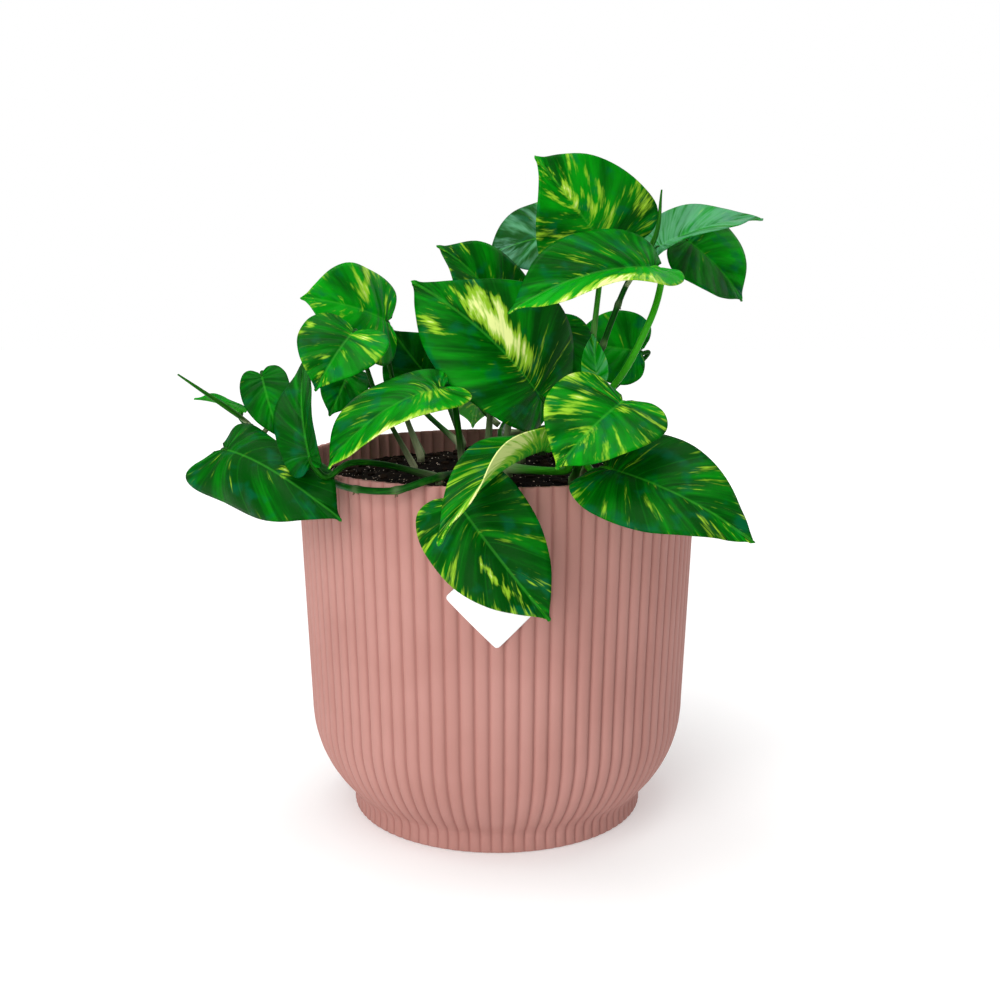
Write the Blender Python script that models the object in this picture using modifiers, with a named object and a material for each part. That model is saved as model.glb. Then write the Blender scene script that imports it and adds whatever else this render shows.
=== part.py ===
"""Golden pothos in a reeded, straight-sided bowl pot.

Metres, +Z up. The origin is the centre of the pot's underside, and -Y is the front.
The plant's places are given from the centre of the pot's rim and follow the rim's size.
"""

import math

import bmesh
import bpy
from mathutils import Matrix, Vector

# Pot: a thin moulded bowl with a narrower foot and reeds from rim to foot.
POT_RADIUS = 0.0898
POT_HEIGHT = 0.1623
POT_WALL = 0.0020
WAIST_RADIUS = 0.0854        # where the bowl's curve meets the straight wall
WAIST_HEIGHT = 0.050
FOOT_RADIUS = 0.0668
FOOT_HEIGHT = 0.0095
FOOT_EDGE = 0.0012
FOOT_LEDGE = 0.0003          # the bowl's curve ends this far outside the foot
REED_COUNT = 88
REED_DEPTH = 0.0009
POINTS_PER_REED = 2
BOWL_STEPS = 4
WALL_STEPS = 1

# Soil: fills the pot and rises to a low mound round the stems.
SOIL_BELOW_RIM = 0.0110
MOUND_HEIGHT = 0.0120
SOIL_SIDES = 40
SOIL_RINGS = 5
SOIL_CLEARANCE = 0.0008      # from the reeds inside the wall
FIT_GAP = 0.0003             # between pieces that touch

# Label: a square sticker that stands on one corner and follows the front of the wall.
LABEL_SIDE = 0.0295
LABEL_BELOW_RIM = 0.0446     # from the rim down to the label's centre
LABEL_THICKNESS = 0.0004
LABEL_CELLS = 6
LABEL_CORNER_CUT = 0.45      # share of a cell that each corner is drawn in

# Plant.
REFERENCE_RIM = 0.0898       # rim radius that the plant's places below are written for
SPREAD = POT_RADIUS / REFERENCE_RIM
BLADE_THICKNESS = 0.0007
PETIOLE_BASE_RADIUS = 0.0006
PETIOLE_SLENDERNESS = 0.014  # petiole radius gained for each metre of blade
VINE_RADIUS = 0.0018
ROOT_CLEARANCE = 0.0010      # a stem's flat end over the sloping soil
BLADE_CLEARANCE = 0.0008     # petiole end to the blade it carries
COLLAR_SHARE = 0.036         # of the blade's length: how far behind its notch the petiole ends
APPROACH_SHARE = 0.11        # of the blade's length: the petiole's last stretch, up under the blade
VINE_POINTS = 18
PETIOLE_POINTS = 8
TUBE_RESOLUTION = 1

# Half outline of a heart leaf from notch to tip: along the midrib, out from the midrib,
# as shares of the length and of the half width. Beside each: where its vein leaves the midrib.
HEART = (
    ((-0.055, 0.10), 0.00),
    ((-0.105, 0.38), 0.05),
    ((-0.090, 0.72), 0.09),
    ((0.060, 0.96), 0.13),
    ((0.270, 1.00), 0.20),
    ((0.490, 0.91), 0.32),
    ((0.700, 0.68), 0.49),
    ((0.860, 0.36), 0.69),
    ((0.950, 0.12), 0.86),
)
HALF_CELLS = 2

# Vines, as points on their side towards the pot, from the rim's centre. The first is on the soil.
VINES = {
    "left": ((-0.008, -0.050), (-0.0155, -0.0699, 0.0008), (-0.0254, -0.0839, 0.0008),
             (-0.0391, -0.0860, -0.0032), (-0.0547, -0.0772, -0.0042), (-0.0664, -0.0610, -0.0042),
             (-0.0781, -0.0459, -0.0032), (-0.0889, -0.0322, 0.0008), (-0.0989, -0.0215, 0.0068),
             (-0.1068, -0.0137, 0.0128)),
    "up": ((0.020, -0.006), (0.0278, -0.0056, 0.0158), (0.0398, -0.0076, 0.0348),
           (0.0488, -0.0038, 0.0578), (0.0558, 0.0019, 0.0738), (0.0628, 0.0058, 0.0838)),
    "back": ((0.002, 0.026), (0.0019, 0.0418, 0.0028), (0.0058, 0.0638, 0.0058),
             (0.0136, 0.0838, 0.0033), (0.0215, 0.0959, -0.0102), (0.0255, 0.0989, -0.0282)),
}

# Leaves: base and run (base to tip) from the rim's centre, the way the upper side looks,
# width, droop of the midrib, fold along it, curl of the margins and twist (degrees), and the
# petiole's root (a vine and a share of its length, or a place on the soil) and waypoints.
# under says how far the petiole comes from below the blade rather than from behind it.
LEAVES = (
    dict(name="left_high", base=(-0.048, -0.004, 0.060), run=(-0.036, -0.018, 0.011),
         faces=(0.15, -0.8, 0.6), width=0.050, droop=35, fold=8, curl=20, twist=0,
         root=(-0.034, -0.010), via=((-0.046, -0.008, 0.034),), under=1.0),
    dict(name="left_heart", base=(-0.059, -0.044, 0.058), run=(-0.014, -0.020, -0.023),
         faces=(-0.1, -0.85, 0.5), width=0.038, droop=30, fold=15, curl=10, twist=0,
         root=(-0.036, -0.026), via=((-0.050, -0.036, 0.028),), under=1.0),
    dict(name="left_tall", base=(-0.074, -0.076, 0.008), run=(-0.006, 0.040, 0.039),
         faces=(-0.5, -0.8, 0.1), width=0.024, droop=30, fold=30, curl=10, twist=0,
         root=(-0.024, -0.048), via=((-0.0460, -0.0600, 0.0045), (-0.0590, -0.0690, 0.0065)), under=1.0),
    dict(name="left_small", base=(-0.104, -0.010, 0.037), run=(0.009, -0.012, -0.027),
         faces=(-0.1, -0.7, 0.7), width=0.022, droop=40, fold=10, curl=20, twist=0,
         root=("left", 0.93), via=(), under=1.0),
    dict(name="left_sliver", base=(-0.115, 0.000, 0.020), run=(-0.020, -0.006, 0.006),
         faces=(0.1, 0.0, 1.0), width=0.014, droop=30, fold=20, curl=0, twist=0,
         root=("left", 0.95), via=(), under=1.0),
    dict(name="left_low", base=(-0.115, -0.044, 0.009), run=(0.054, -0.040, -0.023),
         faces=(-0.15, -0.7, 0.75), width=0.048, droop=50, fold=0, curl=60, twist=0,
         root=("left", 0.88), via=(), under=1.0),
    dict(name="left_rear", base=(-0.067, 0.010, 0.037), run=(-0.008, -0.015, -0.019),
         faces=(0.3, -0.6, 0.7), width=0.022, droop=20, fold=10, curl=10, twist=0,
         root=(-0.034, 0.002), via=((-0.045, 0.006, 0.020),), under=1.0),
    dict(name="mid_strap", base=(-0.021, -0.066, 0.037), run=(-0.045, -0.020, -0.030),
         faces=(-0.3, -0.45, 0.85), width=0.042, droop=55, fold=12, curl=15, twist=0,
         root=(-0.014, -0.044), via=(), under=1.0),
    dict(name="mid_broad", base=(0.020, -0.036, 0.028), run=(-0.056, 0.000, 0.050),
         faces=(0.50, -0.70, 0.48), width=0.062, droop=40, fold=18, curl=5, twist=-62,
         root=(0.010, -0.024), via=(), under=1.0),
    dict(name="mid_shade", base=(-0.028, 0.030, 0.027), run=(-0.021, -0.010, 0.028),
         faces=(-0.3, -0.9, 0.2), width=0.040, droop=20, fold=10, curl=10, twist=0,
         root=(-0.016, 0.022), via=(), under=1.0),
    dict(name="mid_high", base=(0.004, -0.002, 0.060), run=(-0.030, -0.010, 0.033),
         faces=(0.1, -0.75, 0.6), width=0.044, droop=60, fold=10, curl=10, twist=15,
         root=(-0.004, -0.006), via=(), under=1.0),
    dict(name="mid_gloss", base=(0.031, 0.028, 0.098), run=(-0.036, 0.002, -0.010),
         faces=(-0.2, -0.6, 0.8), width=0.052, droop=30, fold=10, curl=10, twist=0,
         root=(0.004, 0.010), via=((0.012, 0.022, 0.045),), under=1.0),
    dict(name="crown", base=(0.050, 0.000, 0.089), run=(-0.034, -0.020, 0.041),
         faces=(-0.1, -0.9, 0.1), width=0.058, droop=60, fold=10, curl=10, twist=30,
         root=("up", 0.52), via=(), under=1.0),
    dict(name="crown_front", base=(0.066, -0.040, 0.084), run=(-0.062, -0.022, -0.018),
         faces=(0.1, -0.5, 0.87), width=0.046, droop=45, fold=18, curl=0, twist=0,
         root=("up", 0.20), via=((0.050, -0.034, 0.035), (0.063, -0.038, 0.060)), under=1.0),
    dict(name="right_shade", base=(0.066, 0.020, 0.045), run=(-0.034, 0.010, 0.003),
         faces=(0.0, -0.9, 0.4), width=0.036, droop=20, fold=10, curl=10, twist=0,
         root=(0.034, 0.018), via=((0.048, 0.024, 0.020),), under=1.0),
    dict(name="right_wing", base=(0.070, 0.002, 0.092), run=(0.049, 0.008, 0.013),
         faces=(-0.2, -0.45, 0.9), width=0.032, droop=30, fold=20, curl=0, twist=0,
         root=("up", 0.92), via=(), under=1.0),
    dict(name="right_rear", base=(0.086, 0.020, 0.096), run=(0.027, 0.000, -0.028),
         faces=(0.3, -0.6, 0.6), width=0.050, droop=30, fold=10, curl=10, twist=0,
         root=("up", 1.00), via=(), under=1.0),
    dict(name="heart_shade", base=(0.022, -0.006, 0.060), run=(-0.002, -0.016, -0.039),
         faces=(0.1, -0.75, 0.65), width=0.040, droop=30, fold=10, curl=10, twist=0,
         root=(0.012, -0.004), via=((0.014, 0.000, 0.030),), under=1.0),
    dict(name="heart_new", base=(0.041, -0.055, 0.038), run=(-0.002, 0.005, 0.019),
         faces=(-0.3, -0.9, 0.1), width=0.012, droop=10, fold=30, curl=0, twist=0,
         root=("up", 0.34), via=(), under=1.0),
    dict(name="heart", base=(0.049, -0.082, 0.033), run=(-0.027, -0.024, -0.023),
         faces=(-0.1, -0.7, 0.7), width=0.048, droop=30, fold=12, curl=10, twist=0,
         root=(0.036, -0.036), via=((0.042, -0.058, 0.014),), under=1.0),
    dict(name="right_low", base=(0.042, -0.087, 0.008), run=(0.054, -0.027, -0.024),
         faces=(0.1, -0.7, 0.7), width=0.048, droop=35, fold=8, curl=15, twist=0,
         root=(0.032, -0.048), via=((0.034, -0.070, 0.007),), under=0.6),
    dict(name="front_low", base=(-0.016, -0.098, -0.003), run=(0.036, -0.018, -0.043),
         faces=(-0.2, -0.95, 0.25), width=0.044, droop=35, fold=8, curl=15, twist=-10,
         root=(-0.004, -0.056), via=((-0.008, -0.078, 0.005), (-0.014, -0.090, 0.006)), under=0.0),
    dict(name="front_fold", base=(0.021, -0.073, 0.015), run=(-0.042, -0.069, -0.026),
         faces=(-0.5, -0.35, 0.8), width=0.030, droop=35, fold=40, curl=0, twist=0,
         root=(0.004, -0.042), via=(), under=1.0),
    dict(name="back_mid", base=(-0.008, 0.060, 0.023), run=(-0.005, 0.050, -0.025),
         faces=(0.0, 0.6, 0.8), width=0.044, droop=40, fold=10, curl=10, twist=0,
         root=("back", 0.30), via=(), under=1.0),
    dict(name="back_right", base=(0.045, 0.050, 0.018), run=(0.035, 0.038, -0.022),
         faces=(0.5, 0.5, 0.75), width=0.046, droop=40, fold=10, curl=10, twist=10,
         root=("back", 0.20), via=(), under=1.0),
    dict(name="back_left", base=(-0.038, 0.048, 0.021), run=(-0.034, 0.036, -0.025),
         faces=(-0.4, 0.5, 0.8), width=0.044, droop=40, fold=10, curl=10, twist=-10,
         root=(-0.018, 0.036), via=(), under=1.0),
)

# Young leaves still rolled to a spike: root as above, waypoints, tip.
SPIKES = (
    dict(name="left", root=("left", 1.0), via=((-0.118, -0.022, 0.024),), tip=(-0.135, -0.034, 0.039)),
    dict(name="crown", root=("up", 0.80), via=((0.068, -0.013, 0.096),), tip=(0.070, -0.017, 0.116)),
)

COLOURS = {
    "pot": ((0.56, 0.29, 0.25), 0.55),
    "soil": ((0.02, 0.015, 0.012), 0.95),
    "label": ((0.90, 0.90, 0.90), 0.45),
    "blade": ((0.01, 0.20, 0.02), 0.35),
    "petiole": ((0.03, 0.22, 0.03), 0.40),
    "vine": ((0.02, 0.14, 0.02), 0.45),
    "spike": ((0.10, 0.32, 0.06), 0.40),
}


def clear_scene():
    for found in list(bpy.data.objects):
        bpy.data.objects.remove(found, do_unlink=True)


def material(kind):
    """The Principled finish of one kind of piece, made once."""
    made = bpy.data.materials.get(kind)
    if made is None:
        colour, roughness = COLOURS[kind]
        made = bpy.data.materials.new(kind)
        made.use_nodes = True
        shader = made.node_tree.nodes["Principled BSDF"]
        shader.inputs["Base Color"].default_value = (*colour, 1.0)
        shader.inputs["Roughness"].default_value = roughness
        shader.inputs["Metallic"].default_value = 0.0
    return made


def add_piece(name, data, kind, collection):
    piece = bpy.data.objects.new(name, data)
    piece.data.materials.append(material(kind))
    collection.objects.link(piece)
    return piece


def from_rim(place):
    """A place given from the rim's centre, as a place in the part."""
    x, y, z = place
    return Vector((x * SPREAD, y * SPREAD, POT_HEIGHT + z * SPREAD))


# ---- turned pieces ----------------------------------------------------------------

def turned(name, profile, sides, kind, collection):
    """Turn a profile of (radius, height) pairs, given outer side first, about the Z axis."""
    count = len(profile)
    mesh = bpy.data.meshes.new(name)
    mesh.from_pydata([(radius, 0.0, height) for radius, height in profile],
                     [(index, index + 1) for index in range(count - 1)], [])
    piece = add_piece(name, mesh, kind, collection)
    screw = piece.modifiers.new("turn", "SCREW")
    screw.axis = "Z"
    screw.angle = math.tau
    screw.steps = sides
    screw.render_steps = sides
    screw.use_merge_vertices = True
    screw.merge_threshold = 0.0001
    return piece


def bowl_radius(height, inset=0.0):
    """Radius of the bowl's curve at a height, outside or set in from it. It is the arc that
    starts upright at the waist and ends at the foot's ledge."""
    across = WAIST_RADIUS - FOOT_RADIUS - FOOT_LEDGE
    down = WAIST_HEIGHT - FOOT_HEIGHT
    curve = (across ** 2 + down ** 2) / (2 * across)
    drop = WAIST_HEIGHT - height
    return WAIST_RADIUS - curve + math.sqrt((curve - inset) ** 2 - drop ** 2)


def wall_radius(height):
    """Outer radius over the reeds at any height above the foot."""
    if height < WAIST_HEIGHT:
        return bowl_radius(height)
    share = (height - WAIST_HEIGHT) / (POT_HEIGHT - WAIST_HEIGHT)
    return WAIST_RADIUS + (POT_RADIUS - WAIST_RADIUS) * share


def pot_profile():
    """Outer profile from the rim down to the middle of the underside."""
    wall = [POT_HEIGHT + (WAIST_HEIGHT - POT_HEIGHT) * step / WALL_STEPS for step in range(WALL_STEPS)]
    bowl = [WAIST_HEIGHT + (FOOT_HEIGHT - WAIST_HEIGHT) * step / BOWL_STEPS for step in range(BOWL_STEPS + 1)]
    profile = [(wall_radius(height), height) for height in wall + bowl]
    profile.append((FOOT_RADIUS, FOOT_HEIGHT - FOOT_EDGE))
    profile.append((FOOT_RADIUS, FOOT_EDGE))
    profile.append((FOOT_RADIUS - FOOT_EDGE, 0.0))
    profile.append((0.0, 0.0))
    return profile


def bake(piece):
    """Replace a piece's mesh by what its modifiers make of it."""
    shape = bpy.data.meshes.new_from_object(piece.evaluated_get(bpy.context.evaluated_depsgraph_get()))
    piece.modifiers.clear()
    piece.data = shape
    return shape


def press_reeds(mesh):
    """Sink the lines between the reeds, leaving the underside flat."""
    for vertex in mesh.vertices:
        radius = math.hypot(vertex.co.x, vertex.co.y)
        if radius < FOOT_RADIUS - 2 * FOOT_EDGE:
            continue
        turn = math.atan2(vertex.co.y, vertex.co.x) / math.tau * REED_COUNT
        crest = abs(math.cos(turn * math.pi))
        shrink = 1.0 - REED_DEPTH * (1.0 - crest) / radius
        vertex.co.x *= shrink
        vertex.co.y *= shrink


def build_pot(collection):
    pot = turned("pot", pot_profile(), REED_COUNT * POINTS_PER_REED, "pot", collection)
    press_reeds(bake(pot))
    pot.data.shade_smooth()
    shell = pot.modifiers.new("wall", "SOLIDIFY")
    shell.thickness = POT_WALL
    shell.offset = -1.0
    shell.use_even_offset = True


def soil_height(x, y):
    """Height of the soil's surface under a point."""
    share = min(math.hypot(x, y) / POT_RADIUS, 1.0)
    return POT_HEIGHT - SOIL_BELOW_RIM + MOUND_HEIGHT * (1.0 + math.cos(math.pi * share)) / 2.0


def build_soil(collection):
    inset = POT_WALL + REED_DEPTH + SOIL_CLEARANCE
    edge_height = POT_HEIGHT - SOIL_BELOW_RIM
    edge = wall_radius(edge_height) - inset
    profile = [(0.0, soil_height(0.0, 0.0))]
    for ring in range(1, SOIL_RINGS + 1):
        radius = edge * ring / SOIL_RINGS
        profile.append((radius, soil_height(radius, 0.0)))
    low = FOOT_HEIGHT + inset
    for step in range(BOWL_STEPS + 1):
        height = WAIST_HEIGHT + (low - WAIST_HEIGHT) * step / BOWL_STEPS
        profile.append((bowl_radius(height, inset), height))
    floor = POT_WALL + FIT_GAP
    foot_edge = FOOT_RADIUS - 2 * inset
    profile.extend([(foot_edge, low), (foot_edge, floor), (0.0, floor)])
    soil = turned("soil", profile, SOIL_SIDES, "soil", collection)
    soil.data.shade_smooth()


def build_label(collection):
    """A square on its corner, wrapped round the front of the wall."""
    bpy.ops.mesh.primitive_grid_add(x_subdivisions=LABEL_CELLS, y_subdivisions=LABEL_CELLS, size=LABEL_SIDE)
    label = bpy.context.object
    label.name = "label"
    label.data.name = "label"
    for owner in list(label.users_collection):
        owner.objects.unlink(label)
    collection.objects.link(label)
    label.data.materials.append(material("label"))
    corner = LABEL_SIDE / 2
    cut = LABEL_CORNER_CUT * LABEL_SIDE / LABEL_CELLS
    middle = POT_HEIGHT - LABEL_BELOW_RIM
    for vertex in label.data.vertices:
        flat = vertex.co.copy()
        if min(abs(flat.x), abs(flat.y)) > corner * 0.99:
            flat *= 1.0 - cut / corner
        across = (flat.x - flat.y) / math.sqrt(2.0)
        upward = (flat.x + flat.y) / math.sqrt(2.0)
        radius = wall_radius(middle + upward) + FIT_GAP + LABEL_THICKNESS
        angle = across / radius
        vertex.co = (radius * math.sin(angle), -radius * math.cos(angle), middle + upward)
    skin = label.modifiers.new("paper", "SOLIDIFY")
    skin.thickness = LABEL_THICKNESS
    skin.offset = -1.0


# ---- stems --------------------------------------------------------------------------

def smooth_route(points, count):
    """Points evenly spaced in parameter along a smooth curve through the given points."""
    ends = [points[0] * 2 - points[1], *points, points[-1] * 2 - points[-2]]
    route = []
    for step in range(count):
        place = (len(points) - 1) * step / (count - 1)
        index = min(int(place), len(points) - 2)
        t = place - index
        before, start, stop, after = ends[index:index + 4]
        route.append(0.5 * (2 * start + (stop - before) * t
                            + (2 * before - 5 * start + 4 * stop - after) * t ** 2
                            + (3 * start - before - 3 * stop + after) * t ** 3))
    return route


def tube(name, route, radii, kind, collection):
    """A round stem along a route, thick as radii says from end to end."""
    curve = bpy.data.curves.new(name, "CURVE")
    curve.dimensions = "3D"
    curve.bevel_depth = 1.0
    curve.bevel_resolution = TUBE_RESOLUTION
    curve.render_resolution_u = 0
    curve.use_fill_caps = True
    spline = curve.splines.new("POLY")
    spline.points.add(len(route) - 1)
    for point, place, radius in zip(spline.points, route, radii):
        point.co = (*place, 1.0)
        point.radius = radius
    spline.use_smooth = True
    return add_piece(name, curve, kind, collection)


def vine_middle(place):
    """The vine's middle where place is its side towards the pot: the inner and lower one."""
    side = from_rim(place)
    outward = Vector((side.x, side.y, 0.0)).normalized()
    return side + (outward + Vector((0.0, 0.0, 1.0))) * VINE_RADIUS


def vine_route(name):
    first, *rest = VINES[name]
    x, y = first[0] * SPREAD, first[1] * SPREAD
    start = Vector((x, y, soil_height(x, y) + ROOT_CLEARANCE))
    lift = start + Vector((0.0, 0.0, VINE_RADIUS))
    return [start] + smooth_route([lift] + [vine_middle(place) for place in rest], VINE_POINTS - 1)


def along(route, share):
    """The point and direction a share of the way along a route."""
    place = share * (len(route) - 1)
    index = min(int(place), len(route) - 2)
    step = route[index + 1] - route[index]
    return route[index] + step * (place - index), step.normalized()


def stem_start(root, towards, radius):
    """The first two points of a stem that leaves a vine or the soil towards a place."""
    if isinstance(root[0], str):
        point, direction = along(vine_route(root[0]), root[1])
        if root[1] == 1.0:
            out = direction
            start = point + out * FIT_GAP
        else:
            out = towards - point
            out = (out - out.dot(direction) * direction).normalized()
            start = point + out * (VINE_RADIUS + FIT_GAP)
        return [start, start + out * 2 * radius]
    x, y = root[0] * SPREAD, root[1] * SPREAD
    start = Vector((x, y, soil_height(x, y) + ROOT_CLEARANCE))
    return [start, start + Vector((0.0, 0.0, 2 * radius))]


# ---- leaves -------------------------------------------------------------------------

def blade_frame(leaf):
    """Axes of a blade: along the run, to its left, and out of its upper side."""
    forward = Vector(leaf["run"]).normalized()
    upper = Vector(leaf["faces"])
    upper = (upper - upper.dot(forward) * forward).normalized()
    return Matrix((forward, upper.cross(forward), upper)).transposed()


def bent_place(leaf, along_midrib, out):
    """Where a point of the flat leaf lies once the midrib droops and the halves fold."""
    chord = Vector(leaf["run"]).length * SPREAD
    droop = math.radians(leaf["droop"])
    bow = chord / (2 * math.sin(droop / 2))
    pitch = droop / 2 - droop * along_midrib
    middle = Vector((bow * (math.sin(droop / 2) - math.sin(pitch)), 0.0,
                     bow * (math.cos(pitch) - math.cos(droop / 2))))
    normal = Vector((math.sin(pitch), 0.0, math.cos(pitch)))
    half = leaf["width"] * SPREAD / 2
    fold = math.radians(leaf["fold"])
    curl = math.radians(max(leaf["curl"], 1))
    lean = fold - curl * abs(out)
    level = math.copysign(half * (math.sin(fold) - math.sin(lean)) / curl, out)
    rise = half * (math.cos(lean) - math.cos(fold)) / curl
    turn = math.radians(leaf["twist"]) * along_midrib
    aside = level * math.cos(turn) - rise * math.sin(turn)
    above = level * math.sin(turn) + rise * math.cos(turn)
    return middle + Vector((0.0, aside, 0.0)) + normal * above


def blade_mesh(name, leaf):
    """One sheet of quads fanned along the veins, closed by a triangle row at the tip."""
    shape = bmesh.new()
    rows = []
    for (edge_along, edge_out), vein in HEART:
        row = []
        for cell in range(-HALF_CELLS, HALF_CELLS + 1):
            share = abs(cell) / HALF_CELLS
            place = bent_place(leaf, vein + (edge_along - vein) * share,
                               math.copysign(edge_out * share, cell))
            row.append(shape.verts.new(place))
        rows.append(row)
    tip = shape.verts.new(bent_place(leaf, 1.0, 0.0))
    for lower, upper in zip(rows, rows[1:]):
        for left, right in zip(range(2 * HALF_CELLS), range(1, 2 * HALF_CELLS + 1)):
            corners = dict.fromkeys((lower[left], upper[left], upper[right], lower[right]))
            shape.faces.new(tuple(corners))
    for left, right in zip(rows[-1], rows[-1][1:]):
        shape.faces.new((left, tip, right))
    bmesh.ops.remove_doubles(shape, verts=shape.verts, dist=0.00001)
    mesh = bpy.data.meshes.new(name)
    shape.to_mesh(mesh)
    shape.free()
    mesh.shade_smooth()
    return mesh


def build_blade(leaf, collection):
    name = "blade_" + leaf["name"]
    blade = add_piece(name, blade_mesh(name, leaf), "blade", collection)
    blade.matrix_world = Matrix.Translation(from_rim(leaf["base"])) @ blade_frame(leaf).to_4x4()
    skin = blade.modifiers.new("thickness", "SOLIDIFY")
    skin.thickness = BLADE_THICKNESS
    skin.offset = 0.0


def build_petiole(leaf, collection):
    """The leaf's stalk, which ends just behind and under the notch of the blade."""
    axes = blade_frame(leaf)
    droop = math.radians(leaf["droop"]) / 2
    forward = axes @ Vector((math.cos(droop), 0.0, math.sin(droop)))
    upper = axes @ Vector((-math.sin(droop), 0.0, math.cos(droop)))
    length = Vector(leaf["run"]).length * SPREAD
    radius = PETIOLE_BASE_RADIUS + PETIOLE_SLENDERNESS * length
    end = from_rim(leaf["base"]) - forward * COLLAR_SHARE * length - upper * (radius + BLADE_CLEARANCE)
    approach = end - (forward * 0.5 + upper * leaf["under"]) * APPROACH_SHARE * length
    waypoints = [*(from_rim(place) for place in leaf["via"]), approach]
    first = stem_start(leaf["root"], waypoints[0], radius)
    route = [first[0]] + smooth_route([first[1], *waypoints, end], PETIOLE_POINTS - 1)
    tube("petiole_" + leaf["name"], route, [radius] * PETIOLE_POINTS, "petiole", collection)


def build_spike(spike, collection):
    """A young leaf rolled round itself, thin at both ends."""
    tip = from_rim(spike["tip"])
    waypoints = [from_rim(place) for place in spike["via"]]
    radius = PETIOLE_BASE_RADIUS * 2
    first = stem_start(spike["root"], (waypoints + [tip])[0], radius)
    route = [first[0]] + smooth_route([first[1], *waypoints, tip], PETIOLE_POINTS - 1)
    swell = [radius * (0.25 + 0.75 * math.sin(math.pi * (0.25 + 0.7 * step / (PETIOLE_POINTS - 1))))
             for step in range(PETIOLE_POINTS)]
    tube("rolled_leaf_" + spike["name"], route, swell, "spike", collection)


def build():
    clear_scene()
    plant = bpy.data.collections.new("potted_pothos")
    bpy.context.scene.collection.children.link(plant)
    build_pot(plant)
    build_soil(plant)
    build_label(plant)
    for name in VINES:
        tube("vine_" + name, vine_route(name), [VINE_RADIUS] * VINE_POINTS, "vine", plant)
    for leaf in LEAVES:
        build_blade(leaf, plant)
        build_petiole(leaf, plant)
    for spike in SPIKES:
        build_spike(spike, plant)


build()
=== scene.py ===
# %% [markdown]
# # A golden pothos in a reeded pot
# A young golden pothos sold in a blush plastic pot: heart-shaped leaves splashed with cream,
# thin stalks, three vines, dark potting soil and a blank square sticker on the front.
# The fixed model of the part gives every place and size. This lesson grows the fine
# surfaces round it: the leaves with their veins, the stalks, the soil and the reeds.
# %% Load the fixed frame
import math
import random

import bmesh
import bpy
import numpy as np
from mathutils import Matrix, Vector, noise


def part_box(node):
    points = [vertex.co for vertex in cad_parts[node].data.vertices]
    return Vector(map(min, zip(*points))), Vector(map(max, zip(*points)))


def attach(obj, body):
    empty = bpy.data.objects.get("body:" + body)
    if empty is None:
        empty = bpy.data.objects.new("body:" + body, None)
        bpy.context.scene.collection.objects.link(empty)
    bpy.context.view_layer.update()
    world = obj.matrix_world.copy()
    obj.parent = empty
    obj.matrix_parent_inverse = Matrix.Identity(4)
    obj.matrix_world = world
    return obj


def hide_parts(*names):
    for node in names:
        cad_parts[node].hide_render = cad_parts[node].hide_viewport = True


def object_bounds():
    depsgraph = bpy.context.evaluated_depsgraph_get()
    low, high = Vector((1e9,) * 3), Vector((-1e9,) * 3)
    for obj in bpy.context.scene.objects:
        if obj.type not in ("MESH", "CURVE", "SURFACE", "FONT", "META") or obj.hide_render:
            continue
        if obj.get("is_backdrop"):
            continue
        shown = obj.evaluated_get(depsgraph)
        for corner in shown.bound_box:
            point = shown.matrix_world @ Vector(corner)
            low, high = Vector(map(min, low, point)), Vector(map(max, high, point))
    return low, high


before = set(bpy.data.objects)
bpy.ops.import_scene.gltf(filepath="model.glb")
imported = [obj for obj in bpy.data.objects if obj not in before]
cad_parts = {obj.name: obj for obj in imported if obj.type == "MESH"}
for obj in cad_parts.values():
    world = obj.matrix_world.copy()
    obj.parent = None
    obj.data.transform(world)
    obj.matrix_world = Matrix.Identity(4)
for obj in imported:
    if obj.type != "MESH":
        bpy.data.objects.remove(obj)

CAD_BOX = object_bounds()
pot_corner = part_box("pot")[1]
RIM_RADIUS = pot_corner.x
RIM_HEIGHT = pot_corner.z
print("frame:", len(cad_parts), "nodes; rim radius", round(RIM_RADIUS, 4),
      "rim height", round(RIM_HEIGHT, 4))

# %% [markdown]
# ## The camera
# A product picture of a plant is taken from a little above its rim with a moderate lens.
# The camera looks at the front, along +Y, tipped down about ten degrees, so the soil and
# the inside of the back wall show. It has no blur, because every leaf is meant to be read.
# %% Camera
CAMERA_PLACE = (0.0, -0.5939, 0.2506)
CAMERA_TIP = 0.1823           # radians below level
CAMERA_LENS = 47.63           # millimetres
SENSOR_WIDTH = 36.0           # millimetres
CAMERA_SHIFT = 0.003          # a share of the picture's width
NEAREST_SEEN = 0.01
view = bpy.data.cameras.new("view")
view.sensor_width = SENSOR_WIDTH
view.lens = CAMERA_LENS
view.shift_x = CAMERA_SHIFT
view.clip_start = NEAREST_SEEN
camera = bpy.data.objects.new("view", view)
camera.location = CAMERA_PLACE
camera.rotation_euler = (math.pi / 2 - CAMERA_TIP, 0.0, 0.0)
bpy.context.scene.collection.objects.link(camera)
bpy.context.scene.camera = camera
print("camera at", CAMERA_PLACE)

# %% [markdown]
# ## Floor and light
# The plant stands on a plain pale floor in a white room. The room is plain white where the
# camera sees it, but it lights the plant with less than half of that, so that the lamps can
# shape the leaves. The floor lies a hair below the pot's foot, so the two never flicker.
# %% Floor and surroundings
ROOM_LIGHT = 0.42             # how strongly the white room lights the plant
ROOM_SEEN = 1.0               # how bright the room looks to the camera
WHITE = (1.0, 1.0, 1.0, 1.0)
FLOOR_HALF = 3.0
FLOOR_BELOW_FOOT = 0.0002
scene = bpy.context.scene
scene.view_settings.view_transform = "Standard"
surroundings = bpy.data.worlds.new("white_room")
surroundings.use_nodes = True
wiring = surroundings.node_tree
backdrop = wiring.nodes["Background"]
backdrop.inputs["Color"].default_value = WHITE
seen = wiring.nodes.new("ShaderNodeLightPath")
level = wiring.nodes.new("ShaderNodeMapRange")
level.inputs["To Min"].default_value = ROOM_LIGHT
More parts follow.
